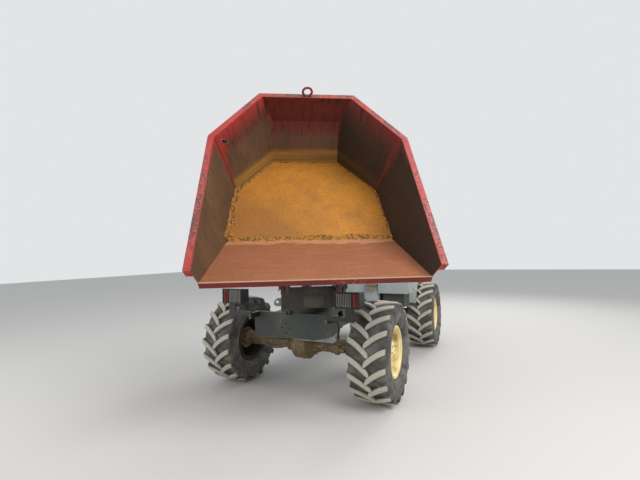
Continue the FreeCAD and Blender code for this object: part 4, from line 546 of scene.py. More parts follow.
@dataclass
class Tyre:
    """A lugged tyre: a smooth carcass and two rows of curved lugs that stand half a pitch apart."""

    name: str
    centre: Vector
    radius: float
    width: float
    pitches: int = 18
    groove: float = 0.044
    crown: float = 0.011
    edge: float = 0.190
    bead_radius: float = 0.2543
    bead_half: float = 0.156
    crest_half: float = 0.029
    overlap: float = 0.024
    bend: float = 0.085
    sweep_bend_deg: float = 10.2
    sweep_edge_deg: float = 16.6

    def build(self, rubber: Material) -> Object:
        """Build the carcass and the lugs as one piece in place of the CAD tyre."""
        form = Form()
        self.add_carcass(form)
        for side, offset in zip(Side, (0.0, 0.5)):
            self.add_lugs(form, side, offset)
        made = form.piece(f"lugged_{self.name}", f"wheel_{self.name}", rubber, 40.0)
        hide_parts(f"tyre_{self.name}")
        return made

    def add_carcass(self, form: Form) -> None:
        """Add the turned carcass: crown, shoulders, ribbed sidewalls, beads and bore."""
        top = self.radius - self.groove
        half = self.width / 2
        side = np.array([(0.0, top), (0.10, top - 0.002), (0.165, top - 0.007), (0.190, top - 0.016),
            (0.2035, top - 0.034), (0.2105, top - 0.055), (half - 0.0025, top - 0.085),
            (half - 0.002, top - 0.115), (half - 0.006, top - 0.145), (half - 0.017, top - 0.172),
            (half - 0.034, top - 0.192), (half - 0.051, top - 0.204)])
        side = smooth(side, 5)
        rib = sum(height * np.exp(-((side[:, 1] - (top - place)) / width) ** 2) for place, width,
            height in ((0.062, 0.0035, 0.0022), (0.128, 0.0022, 0.0014), (0.137, 0.0022, 0.0014),
                (0.178, 0.006, 0.0035)))
        side[:, 0] += rib
        bead = [(self.bead_half, top - 0.2095), (self.bead_half, self.bead_radius)]
        line = np.concatenate([side, bead])
        line = np.concatenate([line[::-1] * (-1, 1), line[1:]])
        form.loop(lathe(line, self.centre, (1, 0, 0), 144))

    def lug_rows(self) -> tuple[np.ndarray, np.ndarray]:
        """Give the lug's top line and foot line as (across, radius), from its nose's middle to its toe."""
        across = np.linspace(self.crest_half - self.overlap, self.edge - 0.004, 9)
        fall = self.crown * (across / self.edge) ** 2
        over = ((0.197, 0.016), (0.2045, 0.031), (0.2095, 0.052), (0.2135, 0.074), (0.2145, 0.096))
        under = ((0.190, 0.060), (0.197, 0.070), (0.203, 0.082), (0.208, 0.094), (0.2118, 0.106))
        top = np.concatenate([np.column_stack([across, self.radius - fall]),
            [(x, self.radius - drop) for x, drop in over]])
        foot = np.concatenate([np.column_stack([across, self.radius - self.groove - 0.003 - fall]),
            [(x, self.radius - drop) for x, drop in under]])
        return top, foot

    def add_lugs(self, form: Form, side: Side, offset: float) -> None:
        """Add one half's lugs.

        A lug's middle line turns about the axle as a quadratic of its place across, through the nose, the
        bend and the shoulder. Rings round that line climb from under the carcass to the flat top, and shut
        on the line itself.

        Args:
            form: The tyre's form.
            side: The half of the tyre.
            offset: The share of a pitch that this half is turned by.
        """
        top, foot = self.lug_rows()
        sweep = np.polyfit((-self.overlap, self.bend, self.edge),
            (0.0, self.sweep_bend_deg, self.sweep_edge_deg), 2)
        rows = len(top)
        nose = np.linspace(math.pi / 2, -math.pi / 2, 9)[1:-1]
        row = np.concatenate([np.arange(rows)[::-1], np.zeros(len(nose), int), np.arange(rows)])
        back = np.concatenate([np.zeros(rows), -np.cos(nose), np.zeros(rows)])
        aside = np.concatenate([np.ones(rows), np.sin(nose), -np.ones(rows)])
        narrow = np.interp(np.arange(rows), (0, 8, rows - 1), (1.0, 0.94, 0.86))[row]
        crest = self.crest_half
        # each row: half the width, share of the height
        climb = np.array([(0.0, -0.08), (crest + 0.012, -0.06), (crest + 0.010, 0.05), (crest + 0.0055, 0.30),
            (crest + 0.002, 0.78), (crest + 0.0005, 0.92), (crest - 0.0025, 0.985), (crest - 0.006, 1.0),
            (crest * 0.4, 1.0), (0.0, 1.0)])
        half, share = climb[:, 0, None] * narrow, climb[:, 1, None]
        place = foot[row] + share[..., None] * (top[row] - foot[row])
        across = place[..., 0] + back * half
        radius = place[..., 1]
        crest_turn = math.degrees(math.asin(crest / self.radius))
        phase = -90.0 - self.sweep_bend_deg - crest_turn + offset * 360 / self.pitches
        turn = np.radians(phase + np.polyval(sweep, top[row, 0] + back * half)) + aside * half / radius
        for number in range(self.pitches):
            angle = turn + 2 * math.pi * number / self.pitches
            lug = np.stack([side * across, -radius * np.cos(angle), radius * np.sin(angle)], axis=-1)
            form.grid(lug + np.array(self.centre), round_columns=True)


@dataclass
class Rim:
    """A deep-dish rim: rolled flanges, a stepped well, a dished disc with its nuts, and the hub cap."""

    name: str
    centre: Vector
    side: Side
    half: float = 0.170
    flange: float = 0.283
    bead: float = 0.254
    well: float = 0.242
    disc_face: float = 0.050
    disc_back: float = 0.034
    hub: float = 0.105
    nut_circle: float = 0.137
    nuts: int = 10
    cap_bolts: int = 6
    cap_circle: float = 0.062

    def build(self, paint: Material, steel: Material) -> None:
        """Build the rim in place of the CAD rim, with its nuts and valve as a second piece."""
        axis = (self.side, 0, 0)
        half, well, face = self.half, self.well, self.disc_face
        outline = fillet(
            [(self.disc_back, 0.001), (self.disc_back, well, 0.008), (-half, well, 0.003),
                (-half - 0.001, self.flange, 0.007), (0.012 - half, self.bead + 0.006, 0.008),
                (0.03 - half, self.bead), (half - 0.03, self.bead), (half - 0.012, self.bead + 0.006, 0.008),
                (half + 0.001, self.flange, 0.007), (half, well + 0.012, 0.006),
                (half - 0.022, well + 0.004, 0.005), (half - 0.026, well - 0.004, 0.004),
                (0.085, well - 0.004, 0.014), (0.062, 0.195, 0.03), (face, 0.165, 0.02),
                (face, self.hub, 0.006), (0.122, self.hub, 0.007), (0.142, 0.078, 0.006),
                (0.142, 0.045, 0.003), (0.148, 0.042, 0.003), (0.148, 0.001)], 4)
        form = Form()
        form.tube(lathe(outline, self.centre, axis, 96))
        made = form.piece(f"dish_{self.name}", f"wheel_{self.name}", paint, 38.0)
        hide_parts(f"rim_{self.name}")
        self.build_nuts(axis, steel)

    def build_nuts(self, axis: tuple[int, int, int], steel: Material) -> None:
        """Build the wheel nuts on their studs, the cap's bolts and the valve."""
        along, one, two = crosswise(axis)
        form = Form()
        centre = np.array(self.centre)
        for number in range(self.nuts):
            turn = 2 * math.pi * (number + 0.5) / self.nuts
            out = math.cos(turn) * one + math.sin(turn) * two
            foot = centre + along * (self.disc_face - 0.001) + out * self.nut_circle
            add_bolt(form, foot, along, 0.030, 0.022, 1.45, turn)
            form.turned([(0.02, 0.0085), (0.036, 0.0085, 0.002), (0.036, 0.001)], foot, along, 10)
        for number in range(self.cap_bolts):
            turn = 2 * math.pi * number / self.cap_bolts
            foot = centre + along * 0.1415 + (math.cos(turn) * one + math.sin(turn) * two) * self.cap_circle
            add_bolt(form, foot, along, 0.013, 0.006, 1.3, turn)
        valve = centre + along * 0.07 + one * 0.205
        form.turned(
            [(0, 0.008), (0.014, 0.008, 0.002), (0.016, 0.0045), (0.038, 0.0045), (0.040, 0.006, 0.001),
                (0.052, 0.006, 0.002), (0.052, 0.001)], valve, along, 12)
        form.piece(f"nuts_{self.name}", f"wheel_{self.name}", steel)


@dataclass(frozen=True)
class WornPaint:
    """Paint on steel that is scuffed at its edges, chipped and dusty."""

    paint: Colour
    faded: Colour
    bare: Colour
    dust: Colour = rgb(150, 143, 126)
    dust_share: float = 0.35
    wear: float = 0.5
    chips: float = 0.35
    edge: float = 0.006
    roughness: float = 0.5
    patch: Colour | None = None
    patch_frame: Matrix | None = None
    patch_at: float = 0.0

    def material(self, name: str) -> Material:
        """Build the material; a patch colours what lies beyond patch_at across its frame, low down."""
        g = Graph(name)
        at = g.place()
        cloud = g.noise(at, 2.6, 6.0, 0.6, 0.4)
        fine = g.noise(at, 42.0, 6.0, 0.65)
        speck = g.noise(at, 130.0, 3.0, 0.7)
        colour = g.blend(g.step(cloud, 0.3, 0.7), self.paint, self.faded)
        if self.patch is not None:
            local = g.place(self.patch_frame)
            beyond = g.step(g.axis(local, "X"), self.patch_at, self.patch_at - 0.001)
            beyond = g.both(beyond, g.step(g.axis(local, "Z"), 1.205, 1.200))
            colour = g.blend(beyond, colour, self.patch)
        chipped = g.step(g.both(fine, g.step(cloud, 0.35, 0.7, 0.75, 1.1)), 0.66 - 0.2 * self.chips,
            0.70 - 0.2 * self.chips)
        worn = g.both(g.edges(self.edge), g.step(fine, 0.62 - 0.3 * self.wear, 0.72 - 0.2 * self.wear))
        colour = g.blend(g.most(chipped, worn), colour, self.bare)
        settled = g.both(g.upward(), g.step(cloud, 0.2, 0.65, 0.4, 1.0))
        settled = g.maths("ADD", settled, g.step(speck, 0.5, 0.75, 0.0, 0.3), True)
        colour = g.blend(g.both(settled, self.dust_share * 2), colour, self.dust)
        rough = g.step(fine, 0.2, 0.8, self.roughness - 0.08, self.roughness + 0.22)
        return g.close(colour, rough, normal=g.bump(fine, 0.22, 0.002))


@dataclass(frozen=True)
class SkipSteel:
    """Skip plate: rust inside with paint left under the rim and along the folds, painted shade over the inner
    faces at positive x where a shade colour is given, and worn paint outside.

    Places are taken in the skip's own frame: x across, y towards its rear, z square to its floor.
    """

    frame: Matrix
    rust: Colour
    deep: Colour
    streak: Colour
    # painted shade: the colour that the inner faces at positive x are darkened towards
    painted_shade: Colour | None = None
    band: Colour = rgb(156, 116, 46)
    band_top: float = 0.165
    paint: Colour = rgb(176, 34, 34)
    shade: Colour = rgb(98, 34, 30)
    dark: Colour = rgb(44, 26, 20)
    full_to: float = 0.05
    fade_to: float = 0.30
    amount: float = 0.8
    folds: tuple[Plane, ...] = ()
    streaking: float = 0.5
    specks: float = 0.3
    outer: Colour = rgb(190, 52, 46)
    dust: Colour = rgb(176, 128, 108)
    middle: Triple = (0.0, 0.45, 0.60)
    paint_ahead: float = -2.0
    rim: Plane = ((0.0, -0.1477, 1.0), 0.606)

    def within(self, g: Graph, at: Socket, plane: Plane) -> Socket:
        """Give how far inside a plane a point is: the plane's place less the point's along its normal."""
        return g.maths("SUBTRACT", plane[1], g.join("DOT_PRODUCT", at, plane[0])["Value"])

    def material(self, name: str) -> Material:
        """Build the material under a name."""
        g = Graph(name)
        at = g.place(self.frame)
        cloud = g.noise(at, 1.7, 6.0, 0.6, 0.6)
        fine = g.noise(at, 30.0, 7.0, 0.7)
        grit = g.noise(at, 110.0, 3.0, 0.75)
        runs = g.noise(g.place(self.frame, (26.0, 26.0, 1.6)), 1.0, 6.0, 0.68)
        inner = self.inner(g, at, cloud, fine, grit, runs)
        outer = g.blend(g.step(cloud, 0.35, 0.7), self.outer, self.paint)
        scuffed = g.most(g.step(fine, 0.63, 0.68), g.both(g.edges(0.005), 0.8))
        outer = g.blend(g.both(g.step(runs, 0.50, 0.66), 0.55), outer, self.shade)
        outer = g.blend(g.step(g.noise(at, 4.0, 7.0, 0.7, 0.8), 0.42, 0.72, 0.0, 0.42), outer, self.dust)
        outer = g.blend(scuffed, outer, self.deep)
        colour = g.blend(self.inside(g, at), outer, inner)
        height = g.plus(fine, g.times(grit, 0.5))
        return g.close(colour, g.step(fine, 0.2, 0.8, 0.55, 0.9), normal=g.bump(height, 0.3, 0.003))

    def inner(self, g: Graph, at: Socket, cloud: Socket, fine: Socket, grit: Socket, runs: Socket) -> Socket:
        """Give the inner face's colour: rust with runs, specks, tide marks and the paint that is left,
        darkened by painted shade at positive x.
        """
        height = g.axis(at, "Z")
        rust = g.blend(g.step(cloud, 0.32, 0.68), self.rust, self.deep)
        rust = g.blend(g.both(g.step(runs, 0.45, 0.68), self.streaking), rust, self.streak)
        rust = g.blend(g.both(g.step(grit, 0.60, 0.70), self.specks), rust, self.band)
        waved = g.plus(height, g.times(cloud, 0.07))
        band = g.step(waved, self.band_top + 0.05, self.band_top + 0.005)
        marks = g.step(g.noise(g.place(self.frame, (0.7, 0.7, 34.0)), 1.0, 3.0, 0.5), 0.38, 0.60, 0.35, 1.0)
        rust = g.blend(g.both(band, marks), rust, self.band)
        depth = self.within(g, at, self.rim)
        loose = g.times(g.plus(runs, fine), 0.5)
        ragged = g.plus(depth, g.times(loose, 0.22))
        flakes = g.noise(g.place(self.frame, (90.0, 90.0, 22.0)), 1.0, 6.0, 0.75)
        need = g.step(ragged, self.full_to + 0.08, self.fade_to + 0.14, 0.18, 0.74)
        left = g.step(g.maths("SUBTRACT", flakes, need), -0.02, 0.05)
        left = g.both(left, g.step(g.axis(at, "Y"), self.paint_ahead, self.paint_ahead + 0.3, 0.12, 1.0))
        halves = {"X": g.maths("ABSOLUTE", g.axis(at, "X")), "Y": g.axis(at, "Y"), "Z": g.axis(at, "Z")}
        mirrored = g.node("CombineXYZ", halves).outputs[0]
        near = g.step(depth, -1.0, -2.0)
        for plane in self.folds:
            away = g.plus(self.within(g, mirrored, plane), g.times(fine, 0.05))
            bare = g.step(away, 0.030, 0.085, 0.20, 0.80)
            bare = g.plus(bare, g.step(depth, 0.15, 0.60, 0.0, 0.30))
            near = g.most(near, g.step(away, 0.10, 0.05))
            left = g.most(left, g.step(g.maths("SUBTRACT", flakes, bare), -0.02, 0.05))
        far = g.both(g.step(ragged, 0.09, 0.30), g.step(near, 0.0, 1.0, 1.0, 0.25))
        painted = g.blend(far, self.paint, self.shade)
        painted = g.blend(g.step(runs, 0.50, 0.64, 0.0, 0.75), painted, self.dark)
        colour = g.blend(g.both(left, self.amount), rust, painted)
        if self.painted_shade is None:
            return colour
        # painted shade: the inner faces at positive x are darkened towards the shade colour, less where paint
        # is left
        right = g.both(g.step(g.axis(at, "X"), -0.05, 0.05), g.step(left, 0.0, 1.0, 0.82, 0.55))
        return g.blend(right, colour, self.painted_shade)

    def inside(self, g: Graph, at: Socket) -> Socket:
        """Give 1 on faces that look towards the skip's middle: their normal and the way there agree."""
        away = g.join("SUBTRACT", self.middle, at)["Vector"]
        return g.step(g.join("DOT_PRODUCT", g.normal_in(self.frame), away)["Value"], -0.01, 0.01)


@dataclass(frozen=True)
class FloorRust:
    """The skip's floor and pour wall: rust polished by the load, with scratches, dark spots and a painted
    highlight along the pour wall's front edge.
    """

    frame: Matrix
    bright: Colour
    dull: Colour
    scratch: Colour
    spot: Colour
    lip_at: float = -0.6985
    # painted highlight: the pale band along the pour wall's front edge
    lip: Colour = rgb(206, 168, 130)
    outer: Colour = rgb(120, 30, 28)
    spots: float = 0.6
    brown_corner: float = 0.5
    fringe: Colour | None = None

    def material(self, name: str) -> Material:
        """Build the material under a name."""
        g = Graph(name)
        at = g.place(self.frame)
        cloud = g.noise(at, 2.2, 8.0, 0.72, 0.15)
        fine = g.noise(at, 34.0, 8.0, 0.75)
        grit = g.noise(at, 62.0, 4.0, 0.8)
        drag = g.noise(g.place(self.frame, (4.0, 75.0, 3.0)), 1.0, 6.0, 0.72, 0.2)
        colour = g.blend(g.step(cloud, 0.38, 0.70, 0.0, 0.8), self.bright, self.dull)
        corner = g.plus(g.times(g.axis(at, "X"), -0.45), g.times(g.axis(at, "Y"), -0.55))
        corner = g.step(g.plus(corner, g.times(cloud, 0.5)), -0.15, 0.45)
        colour = g.blend(g.both(corner, self.brown_corner), colour, self.dull)
        colour = g.blend(g.step(drag, 0.48, 0.62, 0.0, 0.6), colour, self.scratch)
        colour = g.blend(g.both(g.step(fine, 0.52, 0.62), 0.55), colour, self.dull)
        grain = g.step(g.noise(at, 120.0, 4.0, 0.8), 0.46, 0.60)
        colour = g.blend(g.both(grain, 0.45 * self.spots), colour, self.spot)
        dark = g.both(g.step(grit, 0.57, 0.64), g.step(cloud, 0.30, 0.62, 0.35, 1.0))
        colour = g.blend(g.both(dark, self.spots), colour, self.spot)
        if self.fringe is not None:
            torn = g.noise(g.place(self.frame, (5.0, 9.0, 9.0)), 1.0, 7.0, 0.7)
            reach = g.plus(g.axis(at, "Y"), g.times(torn, 0.22))
            colour = g.blend(g.step(reach, 0.034, 0.050, 0.0, 0.62), colour, self.fringe)
        # painted highlight: a pale band a few millimetres wide along the pour wall's front edge
        edge = g.step(g.plus(g.axis(at, "Y"), g.times(fine, 0.006)), self.lip_at + 0.003, self.lip_at)
        colour = g.blend(edge, colour, self.lip)
        below = g.step(g.axis(g.normal_in(self.frame), "Z"), 0.0, -0.1)
        colour = g.blend(below, colour, self.outer)
        height = g.plus(fine, g.times(g.plus(grit, drag), 0.5))
        return g.close(colour, g.step(fine, 0.2, 0.8, 0.5, 0.85), normal=g.bump(height, 0.35, 0.003))


@dataclass(frozen=True)
class DustyRubber:
    """Tyre rubber: dark in the grooves, with pale dust where the ground has touched it."""

    rubber: Colour = rgb(52, 52, 50)
    dust: Colour = rgb(192, 186, 170)
    centre: Triple = (0.0, 0.0, 0.0)
    tread_radius: float = 0.52

    def material(self, name: str) -> Material:
        """Build the material under a name."""
        g = Graph(name)
        at = g.place(Matrix.Translation(Vector(self.centre)))
        fine = g.noise(at, 60.0, 6.0, 0.65)
        cloud = g.noise(at, 7.0, 5.0, 0.6, 0.5)
        radius = g.off_axle(at)
        touched = g.step(radius, self.tread_radius - 0.012, self.tread_radius + 0.004)
        touched = g.both(touched, g.step(fine, 0.15, 0.6, 0.65, 1.0))
        film = g.step(cloud, 0.35, 0.75, 0.05, 0.34)
        colour = g.blend(g.most(g.both(touched, 0.92), film), self.rubber, self.dust)
        return g.close(colour, g.step(fine, 0.2, 0.8, 0.7, 0.95), normal=g.bump(fine, 0.3, 0.002))


@dataclass(frozen=True)
class WheelPaint:
    """Cream wheel paint: brown dirt runs in the dish, and dried mud on the side towards the machine."""

    paint: Colour
    faded: Colour
    mud: Colour = rgb(62, 53, 41)
    wet: Colour = rgb(40, 35, 29)
    stain: Colour = rgb(134, 96, 56)
    centre: Triple = (0.0, 0.0, 0.0)
    side: Side = Side.LEFT

    def material(self, name: str) -> Material:
        """Build the material under a name."""
        g = Graph(name)
        at = g.place(Matrix.Translation(Vector(self.centre)))
        cloud = g.noise(at, 5.0, 6.0, 0.6, 0.5)
        fine = g.noise(at, 60.0, 6.0, 0.65)
        speck = g.noise(at, 150.0, 3.0, 0.7)
        radius = g.off_axle(at)
        colour = g.blend(g.step(cloud, 0.3, 0.7), self.paint, self.faded)
        stained = g.both(g.step(cloud, 0.48, 0.66), g.step(radius, 0.16, 0.25, 0.35, 0.9))
        stained = g.most(stained, g.both(g.step(fine, 0.60, 0.72), 0.5))
        colour = g.blend(g.both(stained, 0.75), colour, self.stain)
        inward = g.times(g.axis(at, "X"), -float(self.side))
        muddy = g.step(g.plus(inward, g.times(cloud, 0.012)), -0.044, -0.034)
        kept = g.step(radius, 0.277, 0.2825, 1.0, 0.25)
        muddy = g.both(muddy, kept)
        crusted = g.blend(g.step(speck, 0.35, 0.7), self.mud, self.wet)
        colour = g.blend(muddy, colour, crusted)
        height = g.plus(g.times(cloud, 0.7), g.times(fine, 0.3))
        return g.close(colour, g.step(muddy, 0.0, 1.0, 0.42, 0.9), normal=g.bump(height, 0.2, 0.002))


@dataclass(frozen=True)
class Chrome:
    """A ram rod's hard chrome with fine scratches along it and a film of oil and dust."""

    tone: Colour = rgb(198, 200, 202)
    film: Colour = rgb(120, 110, 92)

    def material(self, name: str) -> Material:
        """Build the material under a name."""
        g = Graph(name)
        fine = g.noise(g.place(stretch=(9.0, 9.0, 90.0)), 4.0, 5.0, 0.6)
        cloud = g.noise(g.place(), 9.0, 5.0, 0.6)
        colour = g.blend(g.step(cloud, 0.55, 0.8, 0.0, 0.45), self.tone, self.film)
        return g.close(colour, g.step(fine, 0.3, 0.7, 0.12, 0.3), 1.0, g.bump(fine, 0.05, 0.0005))


@dataclass(frozen=True)
class DrySoil:
    """Dried soil: ochre crumbs with painted shade in the hollows between them, and a pale torn edge over the
    pour fold.
    """

    frame: Matrix
    body: Colour = rgb(170, 114, 44)
    pale: Colour = rgb(206, 138, 92)
    # painted shade in the hollows between the crumbs
    dark: Colour = rgb(70, 47, 24)
    grain: Colour = rgb(206, 158, 74)
    torn: Colour = rgb(150, 92, 58)

    def material(self, name: str) -> Material:
        """Build the material under a name."""
        g = Graph(name)
        at = g.place(self.frame)
        clods = g.noise(at, 38.0, 7.0, 0.72, 0.3)
        grit = g.noise(at, 150.0, 4.0, 0.7)
        # painted shade: where the crumbs' bump is low the colour goes dark
        colour = g.blend(g.step(clods, 0.42, 0.54), self.dark, self.body)
        colour = g.blend(g.step(grit, 0.52, 0.62, 0.0, 0.6), colour, self.grain)
        torn = g.step(g.plus(g.axis(at, "Y"), g.times(clods, 0.012)), 0.004, -0.010)
        colour = g.blend(torn, colour, g.blend(g.step(clods, 0.35, 0.6), self.torn, self.pale))
        height = g.plus(clods, g.times(grit, 0.4))
        return g.close(colour, 0.95, normal=g.bump(height, 0.5, 0.005))


@dataclass(frozen=True)
class Lens:
    """A moulded lens: tinted plastic that lets some light through, dulled by dust."""

    tint: Colour
    clear: float = 0.3
    dust: Colour = rgb(150, 143, 126)
    pitch: float = 0.0
    frame: Matrix | None = None
    between: Colour = rgb(42, 42, 40)

    def material(self, name: str) -> Material:
        """Build the material under a name."""
        g = Graph(name)
        grime = g.noise(g.place(), 30.0, 6.0, 0.65, 0.4)
        colour = g.blend(g.step(grime, 0.54, 0.80, 0.02, 0.3), self.tint, self.dust)
        if self.pitch:
            turn = g.times(g.axis(g.place(self.frame), "X"), 2 * math.pi / self.pitch)
            wave = g.maths("SINE", turn)
            colour = g.blend(g.step(wave, -0.5, 0.6), self.between, colour)
        rough = g.step(grime, 0.45, 0.8, 0.08, 0.3)
        return g.close(colour, rough, Transmission_Weight=self.clear, IOR=1.49)


@dataclass(frozen=True)
class Vinyl:
    """Seat covering: black grained vinyl, greyed where dust lies in its grain."""

    tone: Colour = rgb(34, 34, 36)
    worn: Colour = rgb(66, 64, 60)

    def material(self, name: str) -> Material:
        """Build the material under a name."""
        g = Graph(name)
        at = g.place()
        grain = g.cells(at, 520.0)
        cloud = g.noise(at, 9.0, 5.0, 0.6)
        colour = g.blend(g.step(cloud, 0.42, 0.75, 0.05, 0.75), self.tone, self.worn)
        rough = g.step(cloud, 0.3, 0.7, 0.48, 0.68)
        return g.close(colour, rough, normal=g.bump(grain, 0.25, 0.0008))


def camera_origin() -> Vector:
    """Give the ground point under the middle of the front axle, from the front tyres' boxes."""
    left_low, left_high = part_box("tyre_front_left")
    right_low, right_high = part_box("tyre_front_right")
    middle = (left_low + left_high + right_low + right_high) / 4
    return Vector((middle.x, middle.y, 0.0))


@dataclass
class Studio:
    """The camera at the photograph's place, the pale floor and the soft lamps."""

    eye: Triple = (2.136, -3.852, 1.593)
    yaw_deg: float = -26.29
    pitch_deg: float = 2.35
    roll_deg: float = -1.23
    focal_px: float = 360.0
    frame_px: float = 640.0
    sensor: float = 36.0
    far: float = 200.0
    floor_size: float = 60.0
    floor_colour: Colour = rgb(206, 203, 197)
    sky_colour: Colour = (0.86, 0.90, 0.97)
    sky_strength: float = 0.70
    backdrop_colour: Colour = rgb(226, 228, 230)

    def build(self) -> None:
        """Make the camera, the floor, the lamps and the sky."""
        self.make_camera()
        self.make_floor()
        self.make_lights()

    def make_camera(self) -> None:
        """Stand the camera at the eye, with its axes from yaw, pitch and roll.

        The line of sight is (sin yaw cos pitch, cos yaw cos pitch, sin pitch), and roll turns the picture
        about it.
        """
        yaw, pitch, roll = (math.radians(v) for v in (self.yaw_deg, self.pitch_deg, self.roll_deg))
        ahead = Vector((math.sin(yaw) * math.cos(pitch), math.cos(yaw) * math.cos(pitch), math.sin(pitch)))
        level = Vector((math.cos(yaw), -math.sin(yaw), 0.0))
        above = level.cross(ahead)
        across = level * math.cos(roll) + above * math.sin(roll)
        up = above * math.cos(roll) - level * math.sin(roll)
        data = bpy.data.cameras.new("camera")
        data.sensor_width = self.sensor
        data.lens = self.focal_px / self.frame_px * data.sensor_width
        data.clip_end = self.far
        camera = link("camera", data)
        turn = Matrix((across, up, -ahead)).transposed().to_4x4()
        camera.matrix_world = Matrix.Translation(camera_origin() + Vector(self.eye)) @ turn
        bpy.context.scene.camera = camera

    def make_floor(self) -> None:
        """Lay a plain pale floor under the tyres."""
        half = self.floor_size / 2
        mesh = bpy.data.meshes.new("floor")
        mesh.from_pydata([(-half, -half, 0), (half, -half, 0), (half, half, 0), (-half, half, 0)], [],
            [(0, 1, 2, 3)])
        mesh.materials.append(Graph("floor").close(self.floor_colour, 0.9))
        floor = link("floor", mesh)

    def make_lights(self) -> None:
        """Hang a large soft key lamp at the right, a fill at the left, and a pale even sky."""
        origin = camera_origin()
        lamps = (("key_lamp", (5.5, -2.5, 6.5), 420.0, 4.0), ("fill_lamp", (-4.5, -6.0, 3.5), 170.0, 5.0),
            ("back_lamp", (2.0, 8.0, 6.0), 260.0, 4.0),)
        for name, place, power, width in lamps:
            data = bpy.data.lights.new(name, "AREA")
            data.energy = power
            data.size = width
            lamp = link(name, data)
            spot = origin + Vector(place)
            aim = origin + Vector((0.0, 0.8, 1.0)) - spot
            lamp.matrix_world = Matrix.Translation(spot) @ aim.to_track_quat("-Z", "Y").to_matrix().to_4x4()
        self.make_sky()

    def make_sky(self) -> None:
        """Make an even sky that lights softly and looks pale to the camera and in reflections."""
        world = bpy.data.worlds.new("sky")
        world.use_nodes = True
        bpy.context.scene.world = world
        tree = world.node_tree
        tree.nodes.clear()
        light, seen = (tree.nodes.new("ShaderNodeBackground") for _ in range(2))
        light.inputs["Color"].default_value = (*self.sky_colour, 1.0)
        light.inputs["Strength"].default_value = self.sky_strength
        seen.inputs["Color"].default_value = (*self.backdrop_colour, 1.0)
        ray = tree.nodes.new("ShaderNodeLightPath")
        any_ray = ray.outputs["Is Camera Ray"]
        for output in ("Is Glossy Ray", "Is Transmission Ray"):
            either = tree.nodes.new("ShaderNodeMath")
            either.operation = "MAXIMUM"
            tree.links.new(any_ray, either.inputs[0])
            tree.links.new(ray.outputs[output], either.inputs[1])
            any_ray = either.outputs[0]
        mix = tree.nodes.new("ShaderNodeMixShader")
        tree.links.new(any_ray, mix.inputs[0])
        tree.links.new(light.outputs[0], mix.inputs[1])
        tree.links.new(seen.outputs[0], mix.inputs[2])
        tree.links.new(mix.outputs[0], tree.nodes.new("ShaderNodeOutputWorld").inputs["Surface"])


@dataclass(frozen=True)
class Frames:
    """The frames that pieces are placed in: the machine's own, the turret's and the skip's."""

    origin: Vector
    slew_axis: float = 0.075
    slew_deg: float = 32.0
    tip_deg: float = 51.9
    fold_reach: float = 0.916
    fold_height: float = 1.740

    @property
    def machine(self) -> Matrix:
        """The ground point under the front axle's middle."""
        return Matrix.Translation(self.origin)

    @property
    def turret(self) -> Matrix:
        """The slew axis at the ground, turned by the slew."""
        return Matrix.Translation(self.origin + Vector((0.0, self.slew_axis, 0.0))) @ self.slew

    @property
    def slew(self) -> Matrix:
        """The turn of the turret from straight ahead."""
        return Matrix.Rotation(math.radians(self.slew_deg), 4, "Z")

    @property
    def skip(self) -> Matrix:
        """The middle of the fold between the skip's floor and pour wall, with the floor as XY plane."""
        tip = Matrix.Rotation(math.radians(self.tip_deg), 4, "X")
        return self.turret @ Matrix.Translation((0.0, -self.fold_reach, self.fold_height)) @ tip


@dataclass
class Finishes:
    """The finishes that several sub-assemblies share."""

    frame_grey: Material = field(init=False)
    turret_dark: Material = field(init=False)
    mud: Material = field(init=False)
    body_grey: Material = field(init=False)
    black: Material = field(init=False)
    steel: Material = field(init=False)
    bare: Material = field(init=False)
    chrome: Material = field(init=False)
    carrier: Material = field(init=False)
    plastic: Material = field(init=False)
    hose: Material = field(init=False)

    def __post_init__(self) -> None:
        """Mix each finish once."""
        # painted shade: the frame paint's dark grey is the frame as seen in shade; the paint itself is a mid
        # grey
        self.frame_grey = WornPaint(rgb(48, 54, 51), rgb(66, 69, 63), rgb(104, 96, 78), dust_share=0.35,
            chips=0.45).material("frame_paint")
        self.turret_dark = WornPaint(rgb(46, 43, 38), rgb(62, 55, 46), rgb(104, 84, 60),
            dust_share=0.4).material("turret_paint")
        self.mud = WornPaint(rgb(112, 95, 62), rgb(84, 70, 48), rgb(140, 120, 84), rgb(150, 132, 98), 0.55,
            chips=0.8).material("axle_mud")
        self.body_grey = WornPaint(rgb(168, 178, 176), rgb(148, 158, 156), rgb(96, 84, 66), wear=0.35,
            chips=0.15).material("body_paint")
        self.black = WornPaint(rgb(32, 32, 34), rgb(46, 46, 46), rgb(92, 82, 68)).material("black_paint")
        self.steel = WornPaint(rgb(150, 136, 108), rgb(120, 108, 88), rgb(84, 62, 44)).material("nut_steel")
        self.bare = WornPaint(rgb(186, 182, 170), rgb(160, 156, 146), rgb(120, 96, 70), wear=0.2,
            roughness=0.38).material("bare_steel")
        self.chrome = Chrome().material("ram_chrome")
        self.carrier = WornPaint(rgb(66, 34, 30), rgb(82, 46, 38), rgb(92, 70, 50),
            dust_share=0.3).material("carrier_paint")
        self.plastic = WornPaint(rgb(28, 28, 29), rgb(38, 38, 38), rgb(60, 58, 54), wear=0.3, chips=0.1,
            roughness=0.42).material("moulded_plastic")
        # painted highlight: the black hoses' pale yellowish colour stands for their glints, with dust settled
        # over it
        self.hose = WornPaint(rgb(150, 140, 92), rgb(112, 104, 72), rgb(60, 56, 44), dust_share=0.45,
            roughness=0.75).material("hose_painted_glint_and_dust")


